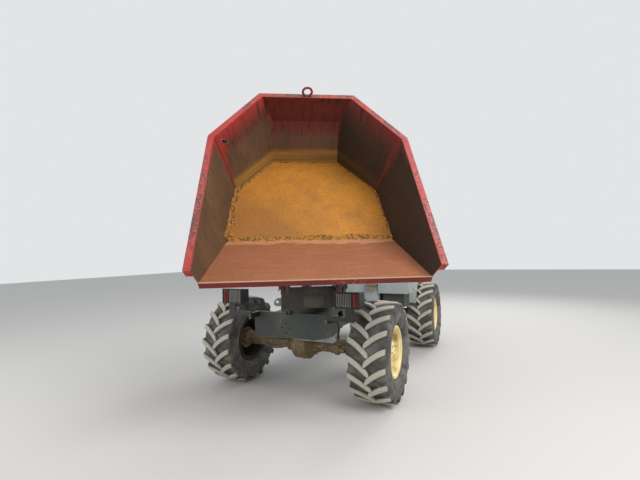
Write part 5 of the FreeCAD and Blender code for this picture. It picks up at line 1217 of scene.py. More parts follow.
@dataclass
class SubAssembly:
    """What every sub-assembly shares: the CAD nodes, the frames and the finishes."""

    nodes: dict[str, Object]
    frames: Frames
    finishes: Finishes

    def put(self, form: Form, name: str, body: str, slot: str, material: Material,
            crease_deg: float = 32.0) -> Object:
        """Make a form that is given in the machine's frame a piece."""
        return form.piece(name, body, material, crease_deg, self.frames.machine)

    def dress(self, material: Material, *names: str) -> None:
        """Give CAD nodes a material in place of their own."""
        for name in names:
            slots = self.nodes[name].data.materials
            slots.clear()
            slots.append(material)


@dataclass
class Skip(SubAssembly):
    """The folded-plate skip: rust and paint by plate, dried soil in the folds, welds and the hole."""

    floor_half: float = 0.816
    toe_in_deg: float = 3.55
    flare_deg: float = 10.7
    pour_slope_deg: float = 26.2
    quarter_deg: float = 36.8
    quarter_reach: float = 1.048
    quarter_flare_deg: float = 7.2
    floor_length: float = 1.230
    rim_height: float = 0.606
    rear_flare_deg: float = 14.1
    hole: Triple = (-0.831, 0.767, 0.606)
    hole_half: Pair = (0.046, 0.016)
    hole_turn_deg: float = -42.0

    def build(self) -> None:
        """Dress the plates and build the pieces on them."""
        self.dress_plates()
        self.build_soil()
        self.build_welds()
        self.build_hole()

    def dress_plates(self) -> None:
        """Give the skip's plates their rust and paint."""
        frame = self.frames.skip
        brown = {"rust": rgb(110, 80, 50), "deep": rgb(86, 62, 42), "streak": rgb(62, 46, 34)}
        tan, turn = self.slopes()
        side = ((1.0, tan[0], -tan[1]), self.floor_half)
        quarter = ((math.cos(turn), math.sin(turn), -tan[2]), self.quarter_reach)
        rear = ((0.0, 1.0, -math.tan(math.radians(self.rear_flare_deg))), self.floor_length)
        # painted shade for the inner faces of the walls at positive x
        shadow = rgb(30, 16, 8)
        self.dress(
            FloorRust(frame, rgb(206, 134, 26), rgb(152, 98, 40), rgb(176, 114, 44), rgb(84, 58, 26),
                brown_corner=0.7, spots=0.75).material("skip_floor"), "skip_floor")
        self.dress(
            FloorRust(frame, rgb(156, 94, 58), rgb(138, 82, 52), rgb(168, 108, 74), rgb(196, 146, 108),
                spots=0.25, brown_corner=0.2, fringe=rgb(202, 146, 104)).material("skip_pour_wall"),
            "skip_front_wall")
        self.dress(
            SkipSteel(frame, **brown, painted_shade=shadow, band_top=-0.02, full_to=-0.01, fade_to=0.08,
                amount=0.6, paint_ahead=0.25, folds=(quarter,)).material("skip_sides"), "skip_side_walls")
        self.dress(
            SkipSteel(frame, **brown, painted_shade=shadow, full_to=0.02, fade_to=0.42,
                folds=(side, rear)).material("skip_quarters"), "skip_quarter_walls")
        self.dress(
            SkipSteel(frame, rgb(108, 76, 54), rgb(92, 66, 48), rgb(70, 50, 38), full_to=0.25, fade_to=0.62,
                amount=0.85, paint=rgb(104, 16, 14), shade=rgb(112, 38, 32),
                dark=rgb(40, 10, 9)).material("skip_rear"), "skip_rear_wall")
        rim = WornPaint(rgb(168, 34, 34), rgb(190, 66, 62), rgb(96, 50, 44), wear=0.9, chips=1.0, edge=0.010,
            dust_share=0.10).material("skip_rim_paint")
        self.dress(rim, "skip_rim")
        # painted shade: the eye's dark red is its red paint as seen in shade
        eye = WornPaint(rgb(120, 22, 32), rgb(140, 36, 42), rgb(90, 50, 40),
            dust_share=0.1).material("eye_paint")
        self.dress(eye, "skip_lifting_eye")
        lip = WornPaint(rgb(96, 16, 16), rgb(118, 24, 22), rgb(150, 96, 76), wear=0.8, edge=0.004,
            dust_share=0.06).material("lip_paint")
        self.dress(lip, "skip_lip_bar")
        self.dress(self.finishes.carrier, "skip_carrier")

    def slopes(self) -> tuple[list[float], float]:
        """Give the tangents of the toe-in and both flares, and the quarter's turn."""
        leans = (self.toe_in_deg, self.flare_deg, self.quarter_flare_deg)
        return [math.tan(math.radians(v)) for v in leans], math.radians(self.quarter_deg)

    def corner(self, side: Side, height: float) -> np.ndarray:
        """Give where a side wall, a quarter wall and a height meet, as (x, y, z) in the skip's frame.

        The side is x + tan(toe-in) y - tan(flare) z = half the floor, and the quarter is
        cos(q) x + sin(q) y - tan(its flare) z = its reach.
        """
        tan, turn = self.slopes()
        rows = np.array([[1.0, tan[0]], [math.cos(turn), math.sin(turn)]])
        x, y = np.linalg.solve(rows,
            [self.floor_half + tan[1] * height, self.quarter_reach + tan[2] * height])
        return np.array([side * x, y, height])

    def floor_line(self) -> np.ndarray:
        """Give the floor's outline from its left front corner round the rear to its right one."""
        x, y, _ = self.corner(Side.LEFT, 0.0)
        turn = math.radians(self.quarter_deg)
        rear = (self.quarter_reach - math.sin(turn) * self.floor_length) / math.cos(turn)
        half = [(self.floor_half, 0.0), (x, y, 0.05), (rear, self.floor_length, 0.05)]
        return fillet(half + [(-point[0], *point[1:]) for point in half[::-1]], 6)

    def build_soil(self) -> None:
        """Lay dried soil in the folds round the floor, and a torn crust over the fold of the pour wall.

        Each is a sheet of crumbs: its height is a smooth profile across, times a slow wander along, plus
        rubble.
        """
        count, columns = 1100, 13
        line = evenly(self.floor_line(), count)
        ahead = np.gradient(line, axis=0)
        ahead /= np.linalg.norm(ahead, axis=1, keepdims=True)
        inward = np.column_stack([-ahead[:, 1], ahead[:, 0]])
        # share of the outline, width on the floor, height up the wall, thickness
        plan = np.array([(0.00, 0.016, 0.020, 0.008), (0.20, 0.014, 0.020, 0.007),
            (0.24, 0.010, 0.012, 0.006), (0.42, 0.008, 0.010, 0.005), (0.58, 0.008, 0.010, 0.005),
            (0.76, 0.014, 0.014, 0.006), (0.80, 0.030, 0.060, 0.013), (0.99, 0.042, 0.080, 0.017),
            (1.00, 0.040, 0.070, 0.014)])
        share = np.linspace(0, 1, count)
        wide, high, thick = (np.interp(share, plan[:, 0], plan[:, i]) for i in (1, 2, 3))
        wide = wide * wander(count, 90, 0.7, 1.25, 3)
        high = high * wander(count, 80, 0.65, 1.3, 6)
        thick = thick * wander(count, 120, 0.6, 1.3, 4)
        across = np.linspace(-1.0, 1.0, columns)
        profile = np.clip(1 - np.abs(across) ** 2.2, 0, 1) ** 0.7
        crumbs = rubble(count, columns, 5) * np.sin(np.linspace(0, math.pi, columns))
        lift = thick[:, None] * (profile + 0.40 * crumbs) - 0.0015 * (profile < 0.05)
        lean = math.tan(math.radians(self.flare_deg))
        sheets = []
        for height in (lift, np.full_like(lift, -0.004)):
            climb = np.clip(-across, 0, 1) * high[:, None]
            tilt = np.clip(0.5 - across * 2.0, 0, 1)
            inwards = np.clip(across, 0, 1) * wide[:, None] - climb * lean + height * tilt
            above = climb + height * (1 - tilt * 0.8)
            flat = line[:, None] + inward[:, None] * inwards[..., None]
            sheets.append(np.concatenate([flat, above[..., None]], axis=-1))
        front, back = sheets
        form = Form()
        add_sheet(form, front, back)
        self.add_crust(form)
        soil = DrySoil(self.frames.skip).material("dry_soil")
        form.piece("skip_soil", "skip", soil, 70.0, self.frames.skip)

    def add_crust(self, form: Form) -> None:
        """Add the crust over the pour wall's fold: its far edge is torn where soil broke away."""
        count, columns = 760, 15
        slope = math.radians(self.pour_slope_deg)
        x = np.linspace(-self.floor_half + 0.006, self.floor_half - 0.006, count)
        reach = wander(count, 14, 0.010, 0.040, 8) + wander(count, 60, -0.004, 0.006, 9)
        back_to = wander(count, 12, 0.034, 0.080, 10)
        level = np.linspace(-1, 1, columns)
        place = np.where(level < 0, level * reach[:, None], level * back_to[:, None])
        profile = np.clip(1 - np.abs(level) ** 2.5, 0, 1) ** 0.6
        height = wander(count, 50, 0.006, 0.012, 11)[:, None] * (profile
            + 0.30 * rubble(count, columns, 12) * profile)
        height -= 0.0015 * (profile < 0.05)
        points = []
        for lift in (height, np.full_like(height, -0.004)):
            wall = place < 0
            y = np.where(wall,
                place * math.cos(slope) + lift * math.sin(slope) * np.minimum(-place / 0.01, 1), place)
            z = np.where(wall, -place * math.sin(slope) + lift * math.cos(slope), lift)
            points.append(np.stack([np.broadcast_to(x[:, None], y.shape), y, z], axis=-1))
        add_sheet(form, *points)

    def build_welds(self) -> None:
        """Run weld beads up the folds beside the quarter walls."""
        form = Form()
        inset = 0.003
        for side in Side:
            low, high = self.corner(side, 0.02), self.corner(side, self.rim_height + 0.09)
            shift = np.array([-side * inset, -inset, 0.0])
            add_bead(form, low + shift, high + shift, 0.0045, 20 + side)
        worn = WornPaint(rgb(150, 44, 40), rgb(112, 46, 38), rgb(104, 76, 52), wear=0.8, chips=1.0,
            dust_share=0.1).material("weld_paint")
        form.piece("skip_welds", "skip", worn, 50.0, self.frames.skip)

    def build_hole(self) -> None:
        """Build the worn oval hole in the right quarter wall: a worn edge round a near-black disc, the
        painted shade inside the hole.
        """
        turn = math.radians(self.quarter_deg)
        flare = math.tan(math.radians(self.quarter_flare_deg))
        inward = Vector((math.cos(turn), -math.sin(turn), flare)).normalized()
        across = Vector((0, 0, 1)).cross(inward).normalized()
        across = Matrix.Rotation(math.radians(self.hole_turn_deg), 3, inward) @ across
        above = inward.cross(across)
        local = Matrix((across * self.hole_half[0], above * self.hole_half[1], inward)).transposed()
        frame = self.frames.skip @ Matrix.Translation(self.hole) @ local.to_4x4()
        edge = Form()
        lip = fillet(
            [(-0.003, 1.16), (0.0008, 1.14, 0.02), (0.0022, 1.04, 0.02), (0.001, 0.95, 0.02), (-0.003, 0.94)],
            3)
        edge.loop(lathe(lip, (0, 0, 0), (0, 0, 1), 40))
        edge.piece("skip_hole_edge", "skip", self.finishes.steel, 60.0, frame)
        # painted shade: a near-black disc stands for the dark inside of the hole
        dark = Form()
        dark.tube(lathe(np.array([(-0.002, 0.97), (0.0012, 0.97)]), (0, 0, 0), (0, 0, 1), 40))
        dark.piece("skip_hole", "skip", Graph("hole_shadow").close(rgb(10, 9, 8), 0.95),
            30.0, frame)


@dataclass
class Turret(SubAssembly):
    """The slewing frame that carries the tip ram: pin caps, ring bolts, the pale plate and a rib."""

    half: float = 0.310
    front: float = -0.570
    floor: float = 1.045
    hinge: Pair = (-1.000, 1.300)
    plate_low: Pair = (-0.067, 1.033)
    plate_high: Pair = (0.149, 1.150)
    ring_radius: float = 0.245
    ring_bolts: int = 16
    box_top: float = 1.200
    rib_height: float = 0.052
    tie_from: float = -0.3115

    def build(self) -> None:
        """Dress the turret and build its bolts, caps and plate."""
        two_tone = WornPaint(rgb(46, 43, 38), rgb(62, 55, 46), rgb(104, 84, 60), dust_share=0.4,
            patch=rgb(132, 146, 154), patch_frame=self.frames.turret, patch_at=self.tie_from)
        self.dress(two_tone.material("turret_and_tie_eye"), "turret")
        form = Form()
        for side in Side:
            centre = (side * (self.half + 0.0115), *self.hinge)
            form.turned([(0, 0.046), (0.007, 0.046, 0.003), (0.007, 0.001)], centre, (side, 0, 0), 36, 3)
            for turn in (0.5, 2.6, 4.7):
                foot = (centre[0] + side * 0.007, centre[1] + 0.031 * math.cos(turn),
                    centre[2] + 0.031 * math.sin(turn))
                add_bolt(form, foot, (side, 0, 0), 0.013, 0.007)
        for number in range(self.ring_bolts):
            turn = 2 * math.pi * (number + 0.5) / self.ring_bolts
            add_bolt(form, (self.ring_radius * math.cos(turn), self.ring_radius * math.sin(turn), self.floor),
                (0, 0, 1), 0.024, 0.013, 1.35, turn)
        form.piece("turret_bolts", "turret", self.finishes.steel, 32.0, self.frames.turret)
        self.build_plate()
        rib = Form()
        add_plate(rib, (-self.half + 0.026, self.front, self.box_top - 0.002),
            (self.half - 0.026, self.front + 0.016, self.box_top + self.rib_height), 0.003)
        rib.piece("turret_rib", "turret", self.finishes.turret_dark, 32.0, self.frames.turret)

    def build_plate(self) -> None:
        """Build the blank pale plate on the turret's front, with four small bolts."""
        form = Form()
        low, high = self.plate_low, self.plate_high
        add_plate(form, (low[0], self.front - 0.005, low[1]), (high[0], self.front, high[1]), 0.002)
        for x in (low[0] + 0.016, high[0] - 0.016):
            for z in (low[1] + 0.016, high[1] - 0.016):
                add_bolt(form, (x, self.front - 0.005, z), (0, -1, 0), 0.010, 0.006)
        plate = WornPaint(rgb(70, 66, 56), rgb(84, 80, 68), rgb(56, 48, 38), dust_share=0.3,
            chips=0.1).material("plate_paint")
        form.piece("turret_plate", "turret", plate, 32.0, self.frames.turret)


@dataclass
class Ram(SubAssembly):
    """A ram's finish and what is on it: a pipe along the barrel with its clamps and ports."""

    name: str = "tip_ram"
    pivot: str = "tip_ram_pivot"
    stroke: str = "tip_ram_stroke"
    joints: dict[str, dict] = field(default_factory=dict)
    barrel_radius: float = 0.055
    barrel_length: float = 0.900
    gland_radius: float = 0.062
    pipe_radius: float = 0.007
    roll_deg: float = 90.0

    def build(self) -> None:
        """Dress the ram and build its fittings along its own axis."""
        barrel, rod = f"{self.name}_barrel", f"{self.name}_rod"
        self.dress(self.finishes.black, barrel)
        self.dress(self.finishes.chrome, rod)
        along = np.array(self.joints[self.stroke]["axis"], float)
        along /= np.linalg.norm(along)
        foot = np.array(self.joints[self.pivot]["pos_m"], float)
        cross = np.array(self.joints[self.pivot]["axis"], float)
        out = np.cross(cross, along)
        turn = math.radians(self.roll_deg)
        out = out * math.cos(turn) + cross * math.sin(turn)
        radius, length = self.barrel_radius, self.barrel_length
        form = Form()
        lift = radius + self.pipe_radius * 1.9
        low, high = radius * 2.2, length - self.gland_radius * 0.6
        line = [(low, radius * 0.96), (low, lift, 0.012), (high, lift, 0.012),
            (high, self.gland_radius * 0.96)]
        flat = fillet(line, 5)
        path = foot + flat[:, :1] * along + flat[:, 1:] * out
        form.tube(carried(path, ring_section(self.pipe_radius, 12), cross))
        for place in (low, high):
            root = foot + along * place + out * (radius * 0.92)
            form.turned([(0, 0.014), (0.013, 0.014, 0.002), (0.013, 0.009)], root, out, 6)
        for share in (0.28, 0.62):
            middle = foot + along * (low + (high - low) * share)
            band = lathe(
                fillet(
                    [(-0.012, radius + 0.0005), (-0.012, radius + 0.003, 0.001),
                        (0.012, radius + 0.003, 0.001), (0.012, radius + 0.0005)], 2), middle, along, 40)
            form.loop(band)
            add_bolt(form, middle + out * (lift + self.pipe_radius * 0.9), out, 0.012, 0.007)
        form.piece(f"{self.name}_pipe", barrel, self.finishes.steel)


@dataclass
class FrontUnit(SubAssembly):
    """The front frame with its plate, axle and lamps: bolts, the bent strip painted pale as a highlight, mud
    and lenses.
    """

    plate_face: float = -0.250
    plate_bottom: float = 0.634
    plate_half: float = 0.549
    lens_back: float = -0.437
    wide_lens: Pair = (0.612, 0.788)
    side_lens: Pair = (0.794, 0.868)
    lens_low: float = 1.047
    lens_high: float = 1.198
    lumps: int = 46
    mud_reach: float = 0.62
    axle_radius: float = 0.082
    banjo: Pair = (0.19, 0.10)
    stub_bolts: tuple[Pair, ...] = ((0.487, 0.873), (0.487, 0.900))

    def build(self) -> None:
        """Dress the front unit and build the pieces on it."""
        self.dress(self.finishes.frame_grey, "front_chassis", "front_plate", "articulation_pin")
        self.dress(self.finishes.mud, "front_axle")
        self.dress(self.finishes.plastic, "front_lamps")
        self.build_strip()
        self.build_bolts()
        self.build_mud()
        for side in Side:
            self.build_lenses(side)

    def build_strip(self) -> None:
        """Build the plate's lower edge, bent forward, with a pale painted highlight that widens towards the
        left.
        """
        count = 60
        x = np.linspace(-0.010, self.plate_half - 0.012, count)
        share = (x - x[0]) / (x[-1] - x[0])
        tall = 0.006 + 0.080 * np.clip((share - 0.45) / 0.55, 0, 1) ** 1.4 + wander(count, 14, 0, 0.004, 30)
        out = 0.004 + 0.016 * share ** 2 + wander(count, 20, -0.002, 0.002, 31)
        low = self.plate_bottom + np.clip((x - self.plate_half + 0.06) / 0.06, 0, 1) * 0.036
        rows = np.linspace(0, 1, 8)[:, None]
        bend = (1 - rows) ** 2
        front = np.stack(
            [np.broadcast_to(x, (8, count)), self.plate_face - 0.0015 - out * bend,
                low - 0.004 + tall * rows], axis=-1)
        back = front + np.array((0.0, 0.0035, 0.0))
        form = Form()
        add_sheet(form, front, back)
        # painted highlight: the strip's pale grey is the light on the bent lip of the plate
        strip_highlight = WornPaint(rgb(150, 152, 146), rgb(104, 108, 104), rgb(70, 74, 72), wear=0.3, chips=0.75,
            roughness=0.42).material("strip_painted_highlight")
        self.put(form, "bent_strip", "front_unit", "frame_grey", strip_highlight, 40.0)

    def build_bolts(self) -> None:
        """Build the bolts that hold the lamp stubs."""
        form = Form()
        for side in Side:
            for x, z in self.stub_bolts:
                add_bolt(form, (side * x, self.plate_face - 0.17, z), (0, -1, 0), 0.014, 0.008)
        self.put(form, "front_bolts", "front_unit", "frame_grey", self.finishes.steel)

    def build_mud(self) -> None:
        """Stick lumps of dried mud along the axle's front and underside."""
        form = Form()
        draw = np.random.default_rng(41)
        for number in range(self.lumps):
            x = draw.uniform(-self.mud_reach, self.mud_reach)
            turn = draw.uniform(-0.5, 1.9)
            radius = self.axle_radius + self.banjo[1] * max(0.0, 1 - abs(x) / self.banjo[0])
            size = draw.uniform(0.010, 0.030)
            centre = (x, -radius * math.cos(turn), HUB_HEIGHT - radius * math.sin(turn))
            add_lump(form, centre, (size * 1.5, size * 0.7, size * 0.7), 100 + number)
        self.put(form, "axle_mud_front", "front_unit", "axle_mud", self.finishes.mud, 70.0)

    def build_lenses(self, side: Side) -> None:
        """Build one cluster's lenses: a fluted clear one towards the middle, and an orange-red one."""
        word = side.name.lower()
        clear = Lens(rgb(150, 148, 138), 0.2, pitch=0.0185,
            frame=self.frames.machine).material(f"clear_lens_{word}")
        orange = Lens(rgb(158, 38, 20), 0.3, pitch=0.045, frame=self.frames.machine,
            between=rgb(84, 22, 14)).material(f"orange_lens_{word}")
        for kind, (start, end), material, flutes in (("clear", self.wide_lens, clear, 15),
                ("orange", self.side_lens, orange, 5)):
            form = Form()
            across = np.linspace(start + 0.002, end - 0.002, flutes * 8 + 1)
            up = np.linspace(self.lens_low + 0.002, self.lens_high - 0.002, 18)
            share = (across - across[0]) / (across[-1] - across[0])
            border = np.minimum(np.minimum(share, 1 - share) * 14, 1)[None, :]
            level = (up - up[0]) / (up[-1] - up[0])
            border = border * np.minimum(np.minimum(level, 1 - level) * 14, 1)[:, None]
            flute = 0.0030 * np.abs(np.sin(math.pi * share * flutes))[None, :]
            bulge = 0.006 * np.sqrt(border) + flute * border
            add_lens(form, side * across, up, self.lens_back - 0.004 - bulge, self.lens_back)
            self.put(form, f"{kind}_lens_{word}", "front_unit", "lamp_housing", material, 25.0)


@dataclass
class Axle(SubAssembly):
    """What is on an axle's casting: the flange bolts beside the banjo, the drain plug and the brake pipe."""

    name: str = "front_axle"
    body: str = "front_unit"
    along: float = 0.0
    height: float = HUB_HEIGHT
    bolts: int = 12
    flange_at: float = 0.080
    flange_radius: float = 0.160
    tube_radius: float = 0.078
    pipe_radius: float = 0.005
    reach: float = 0.560

    def build(self, pipe_side: int) -> None:
        """Build the fittings.

        Args:
            pipe_side: 1 for a pipe behind the axle, -1 for one ahead of it.
        """
        form = Form()
        for side in Side:
            for number in range(self.bolts):
                turn = 2 * math.pi * (number + 0.5) / self.bolts
                foot = (side * (self.flange_at + 0.001), self.along + self.flange_radius * math.cos(turn),
                    self.height + self.flange_radius * math.sin(turn))
                add_bolt(form, foot, (side, -0.18 * math.cos(turn), 0.0), 0.017, 0.012)
        add_bolt(form, (0.0, self.along, self.height - 0.177), (0, 0, -1), 0.024, 0.012)
        self.put(form, f"{self.name}_bolts", self.body, "axle_mud", self.finishes.steel)
        form = Form()
        place = self.along + pipe_side * (self.tube_radius + 0.006)
        low = self.height + 0.030
        rise = pipe_side * 0.125
        line = np.array([(-self.reach, place, low), (-0.34, place, low + 0.004),
            (-0.21, place + rise * 0.45, low + 0.03), (-0.08, place + rise * 0.92, low + 0.06),
            (0.0, place + rise * 0.95, low + 0.065), (0.08, place + rise * 0.92, low + 0.06),
            (0.21, place + rise * 0.45, low + 0.03), (0.34, place, low + 0.004), (self.reach, place, low)])
        form.tube(carried(smooth(line, 8), ring_section(self.pipe_radius, 10), (0, 0, 1)))
        self.put(form, f"{self.name}_pipe", self.body, "axle_mud", self.finishes.black, 40.0)


@dataclass
class Hoses(SubAssembly):
    """The hoses that hang in nested loops from a block on the cowl, with their ferrules; the black hoses are
    coloured pale as their painted glints, with dust.
    """

    centre: Triple = (0.352, 1.527, 1.095)
    radii: tuple[float, ...] = (0.072, 0.048, 0.024)
    bar: float = 0.009
    lean_deg: float = 25.0
    block_half: float = 0.090
    block_deep: float = 0.036
    block_tall: float = 0.034
    span_deg: Pair = (174, 366)

    def build(self) -> None:
        """Build the loops in place of the CAD hoses, then the block with its bolts."""
        x, y, z = self.centre
        lean = math.radians(self.lean_deg)
        across, above = np.array((1.0, 0.0, 0.0)), np.array((0.0, math.sin(lean), math.cos(lean)))
        turn = np.radians(np.linspace(*self.span_deg, 49))
        loops, ferrules = Form(), Form()
        for number, radius in enumerate(self.radii):
            sag = 1 + (0.02 - 0.03 * (number % 2)) * np.clip(-np.sin(turn), 0, 1)
            path = (np.array(self.centre) + np.cos(turn)[:, None] * across * radius
                + (np.sin(turn) * sag)[:, None] * above * radius)
            loops.tube(carried(path, ring_section(self.bar * 0.97, 16), (0.0, 1.0, 0.2)))
            for start, step in ((0, 1), (-1, -1)):
                end = path[start]
                down = path[start + 3 * step] - end
                line = end + np.linspace(-0.1, 1.6, 8)[:, None] * down
                size = np.array([1.25, 1.25, 1.18, 1.25, 1.18, 1.25, 1.22, 1.06])
                ferrules.tube(carried(line, ring_section(self.bar, 14), (0.0, 1.0, 0.2), size))
        # the loops take the pale finish that paints the glints on the black hoses, with dust
        made = self.put(loops, "loop_hoses", "rear_unit", "control_black", self.finishes.hose, 40.0)
        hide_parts("hydraulic_hoses")
        half = self.block_half
        low = (x - half, y - self.block_deep / 2, z)
        add_plate(ferrules, low, (x + half, y + self.block_deep / 2 - 0.0005, z + self.block_tall), 0.003)
        for share in (-0.86, 0.86):
            foot = (x + half * share, y - self.block_deep / 2, z + self.block_tall * 0.5)
            add_bolt(ferrules, foot, (0, -1, 0), 0.010, 0.005, 1.2)
        self.put(ferrules, "hose_block", "rear_unit", "control_black", self.finishes.steel)


@dataclass
class Cab(SubAssembly):
    """The driver's place: cowl trim, dash, levers, pedals, steering wheel and the deck's raised pattern."""

    front: float = 1.545
    rear: float = 2.020
    deck: float = 0.850
    deck_half: float = 0.520
    cowl_half: float = 0.455
    cowl_top: float = 1.190
    wing: float = 0.260
    wing_drop: float = 0.120
    dash_low: Pair = (1.741, 1.270)
    dash_high: Pair = (1.681, 1.330)
    wheel_centre: Triple = (0.0, 1.773, 1.433)
    column_lean_deg: float = 26.8
    wheel_radius: float = 0.180
    wheel_tube: float = 0.014
    pedal: float = 0.230
    pedal_tilt_deg: float = -38.0
    dial: float = 0.098
    stud_pitch: float = 0.034

    def build(self) -> None:
        """Dress the cab's nodes and build everything on them."""
        self.dress(self.finishes.body_grey, "front_cowl", "console", "seat_base")
        self.dress(self.finishes.black, "deck")
        self.build_cowl()
        self.build_dash()
        self.build_levers()
        self.build_pedals()
        self.build_wheel()
        self.build_deck()

    def build_cowl(self) -> None:
        """Build the rubber trim along each wing's edge, the cowl's bolts and the post beside it."""
        trim, bolts = Form(), Form()
        y, top = self.front, self.cowl_top
        for side in Side:
            x = side * (self.cowl_half - 0.003)
            edge = fillet(
                [(y + self.wing, self.deck + 0.004), (y + self.wing, top - self.wing_drop, 0.02),
                    (y + self.wing / 3, top, 0.03), (y + 0.012, top)], 5)
            path = np.column_stack([np.full(len(edge), x), edge])
            trim.tube(carried(path, rounded_box(0.009, 0.012, 0.003), (1, 0, 0)))
            for z in (0.90, 1.00, 1.09):
                add_bolt(bolts, (side * self.cowl_half, y + 0.030, z), (side, 0, 0), 0.010, 0.005)
        for x in (-0.42, -0.27, -0.12, 0.05, 0.20, 0.42):
            add_bolt(bolts, (x, y, 0.872), (0, -1, 0), 0.013, 0.007)
        self.put(trim, "cowl_trim", "rear_unit", "body_grey", self.finishes.plastic, 40.0)
        self.put(bolts, "cowl_bolts", "rear_unit", "body_grey", self.finishes.steel)
        post = Form()
        add_plate(post, (0.196, y - 0.012, 0.880), (0.222, y - 0.0005, 1.180), 0.004)
        self.put(post, "cowl_post", "rear_unit", "body_grey", self.finishes.body_grey)

    def dash_place(self, x: float, share: float) -> np.ndarray:
        """Give a place on the dash's slope from its foot to its top."""
        low, high = np.array(self.dash_low), np.array(self.dash_high)
        return np.array([x, *(low + share * (high - low))])

    def build_dash(self) -> None:
        """Build the dials, the rocker switches and the key on the console's slope."""
        axis = np.array((0.0, 1.0, 1.0)) / math.sqrt(2)
        bezels, faces = Form(), Form()
        for x in (-self.dial, self.dial):
            at = self.dash_place(x, 0.5)
            bezels.loop(lathe(
                fillet(
                    [(-0.001, 0.033), (0.007, 0.033, 0.002), (0.007, 0.027, 0.001), (0.002, 0.026),
                        (-0.001, 0.026)], 3), at, axis, 36))
            faces.turned([(-0.001, 0.0265), (0.0025, 0.0265), (0.0035, 0.012)], at, axis, 32)
            needle = at + axis * 0.0045
            turn = 0.8 if x > 0 else -0.5
            tip = needle + 0.019 * (math.sin(turn) * np.array((1.0, 0, 0))
                + math.cos(turn) * np.array((0, -1.0, 1.0)) / math.sqrt(2))
            bezels.tube(carried(np.array([needle, tip]), ring_section(0.0009, 6), axis))
        for x in (-0.050, 0.050):
            for share in (0.28, 0.72):
                at = self.dash_place(x, share) - axis * 0.001
                outline = lathe(
                    fillet([(0, 0.010), (0.005, 0.010, 0.002), (0.007, 0.007, 0.002), (0.007, 0.001)], 2), at,
                    axis, 4, math.pi / 4)
                bezels.tube(outline)
        key = self.dash_place(0.132, 0.25)
        bezels.turned([(0, 0.009), (0.010, 0.009, 0.002), (0.010, 0.001)], key, axis, 20)
        self.put(bezels, "dash_fittings", "rear_unit", "control_black", self.finishes.plastic)
        dial = Lens(rgb(196, 198, 190), 0.0).material("dial_face")
        self.put(faces, "dash_dials", "rear_unit", "control_black", dial)

    def build_levers(self) -> None:
        """Build the levers with their knobs and rubber boots."""
        form = Form()
        levers = (((-0.235, 1.800, self.deck), (-0.245, 1.850, self.deck + 0.330), 0.019),
            ((0.245, 1.760, self.deck), (0.250, 1.845, self.deck + 0.270), 0.016),
            ((-0.185, 1.640, 1.060), (-0.235, 1.740, 1.300), 0.015),
            ((-0.160, 1.640, 1.040), (-0.185, 1.735, 1.285), 0.015))
        for foot, head, knob in levers:
            foot, head = np.array(foot), np.array(head)
            line = smooth(np.array([foot, foot + (head - foot) * (0.45, 0.25, 0.5), head]), 10)
            form.tube(carried(line, ring_section(0.006, 12), (1, 0, 0)))
            up = line[-1] - line[-3]
            ball = fillet(
                [(-0.020, 0.007), (-0.014, knob * 0.75, 0.006), (0.0, knob, 0.012),
                    (knob * 0.95, knob * 0.62, 0.012), (knob * 1.1, 0.001)], 4)
            form.tube(lathe(ball, head, up, 24))
        for foot, head, _ in levers[:2]:
            rings = [(0, 0.034), (0.004, 0.034)]
            for step in range(4):
                rings += [(0.010 + 0.009 * step, 0.029 - 0.005 * step),
                    (0.0145 + 0.009 * step, 0.022 - 0.004 * step)]
            form.turned([(a, b, 0.003) for a, b in rings], foot, np.array(head) - np.array(foot), 24)
        self.put(form, "control_levers", "rear_unit", "control_black", self.finishes.plastic, 50.0)

    def build_pedals(self) -> None:
        """Build two pedals with ribbed pads on bent arms."""
        form = Form()
        for x in (-self.pedal, self.pedal):
            line = smooth(
                np.array([(x * 0.86, self.front + 0.020, 0.905), (x * 0.93, self.front + 0.050, 0.945),
                    (x, self.front + 0.105, 0.950)]), 8)
            form.tube(carried(line, rounded_box(0.016, 0.007, 0.002), (0, 0, 1)))
            tilt = Matrix.Rotation(math.radians(self.pedal_tilt_deg), 3, "X")
            across, up, out = (np.array(tilt @ Vector(v)) for v in ((1, 0, 0), (0, 0, 1), (0, 1, 0)))
            pad = np.array((x, self.front + 0.105, 0.950))
            rim = rounded_box(0.072, 0.090, 0.010, 4)
            rings = [pad + (rim[:, :1] * size * across + rim[:, 1:] * size * up) + depth * out for depth,
                size in ((-0.005, 0.96), (-0.003, 1.0), (0.003, 1.0), (0.005, 0.96))]
            form.tube(np.array(rings))
            for rib in np.linspace(-0.034, 0.034, 6):
                ends = np.array([pad - across * 0.028, pad + across * 0.028]) + up * rib + out * 0.0055
                form.tube(carried(ends, ring_section(0.0026, 8), out))
        self.put(form, "pedals", "rear_unit", "control_black", self.finishes.plastic, 45.0)

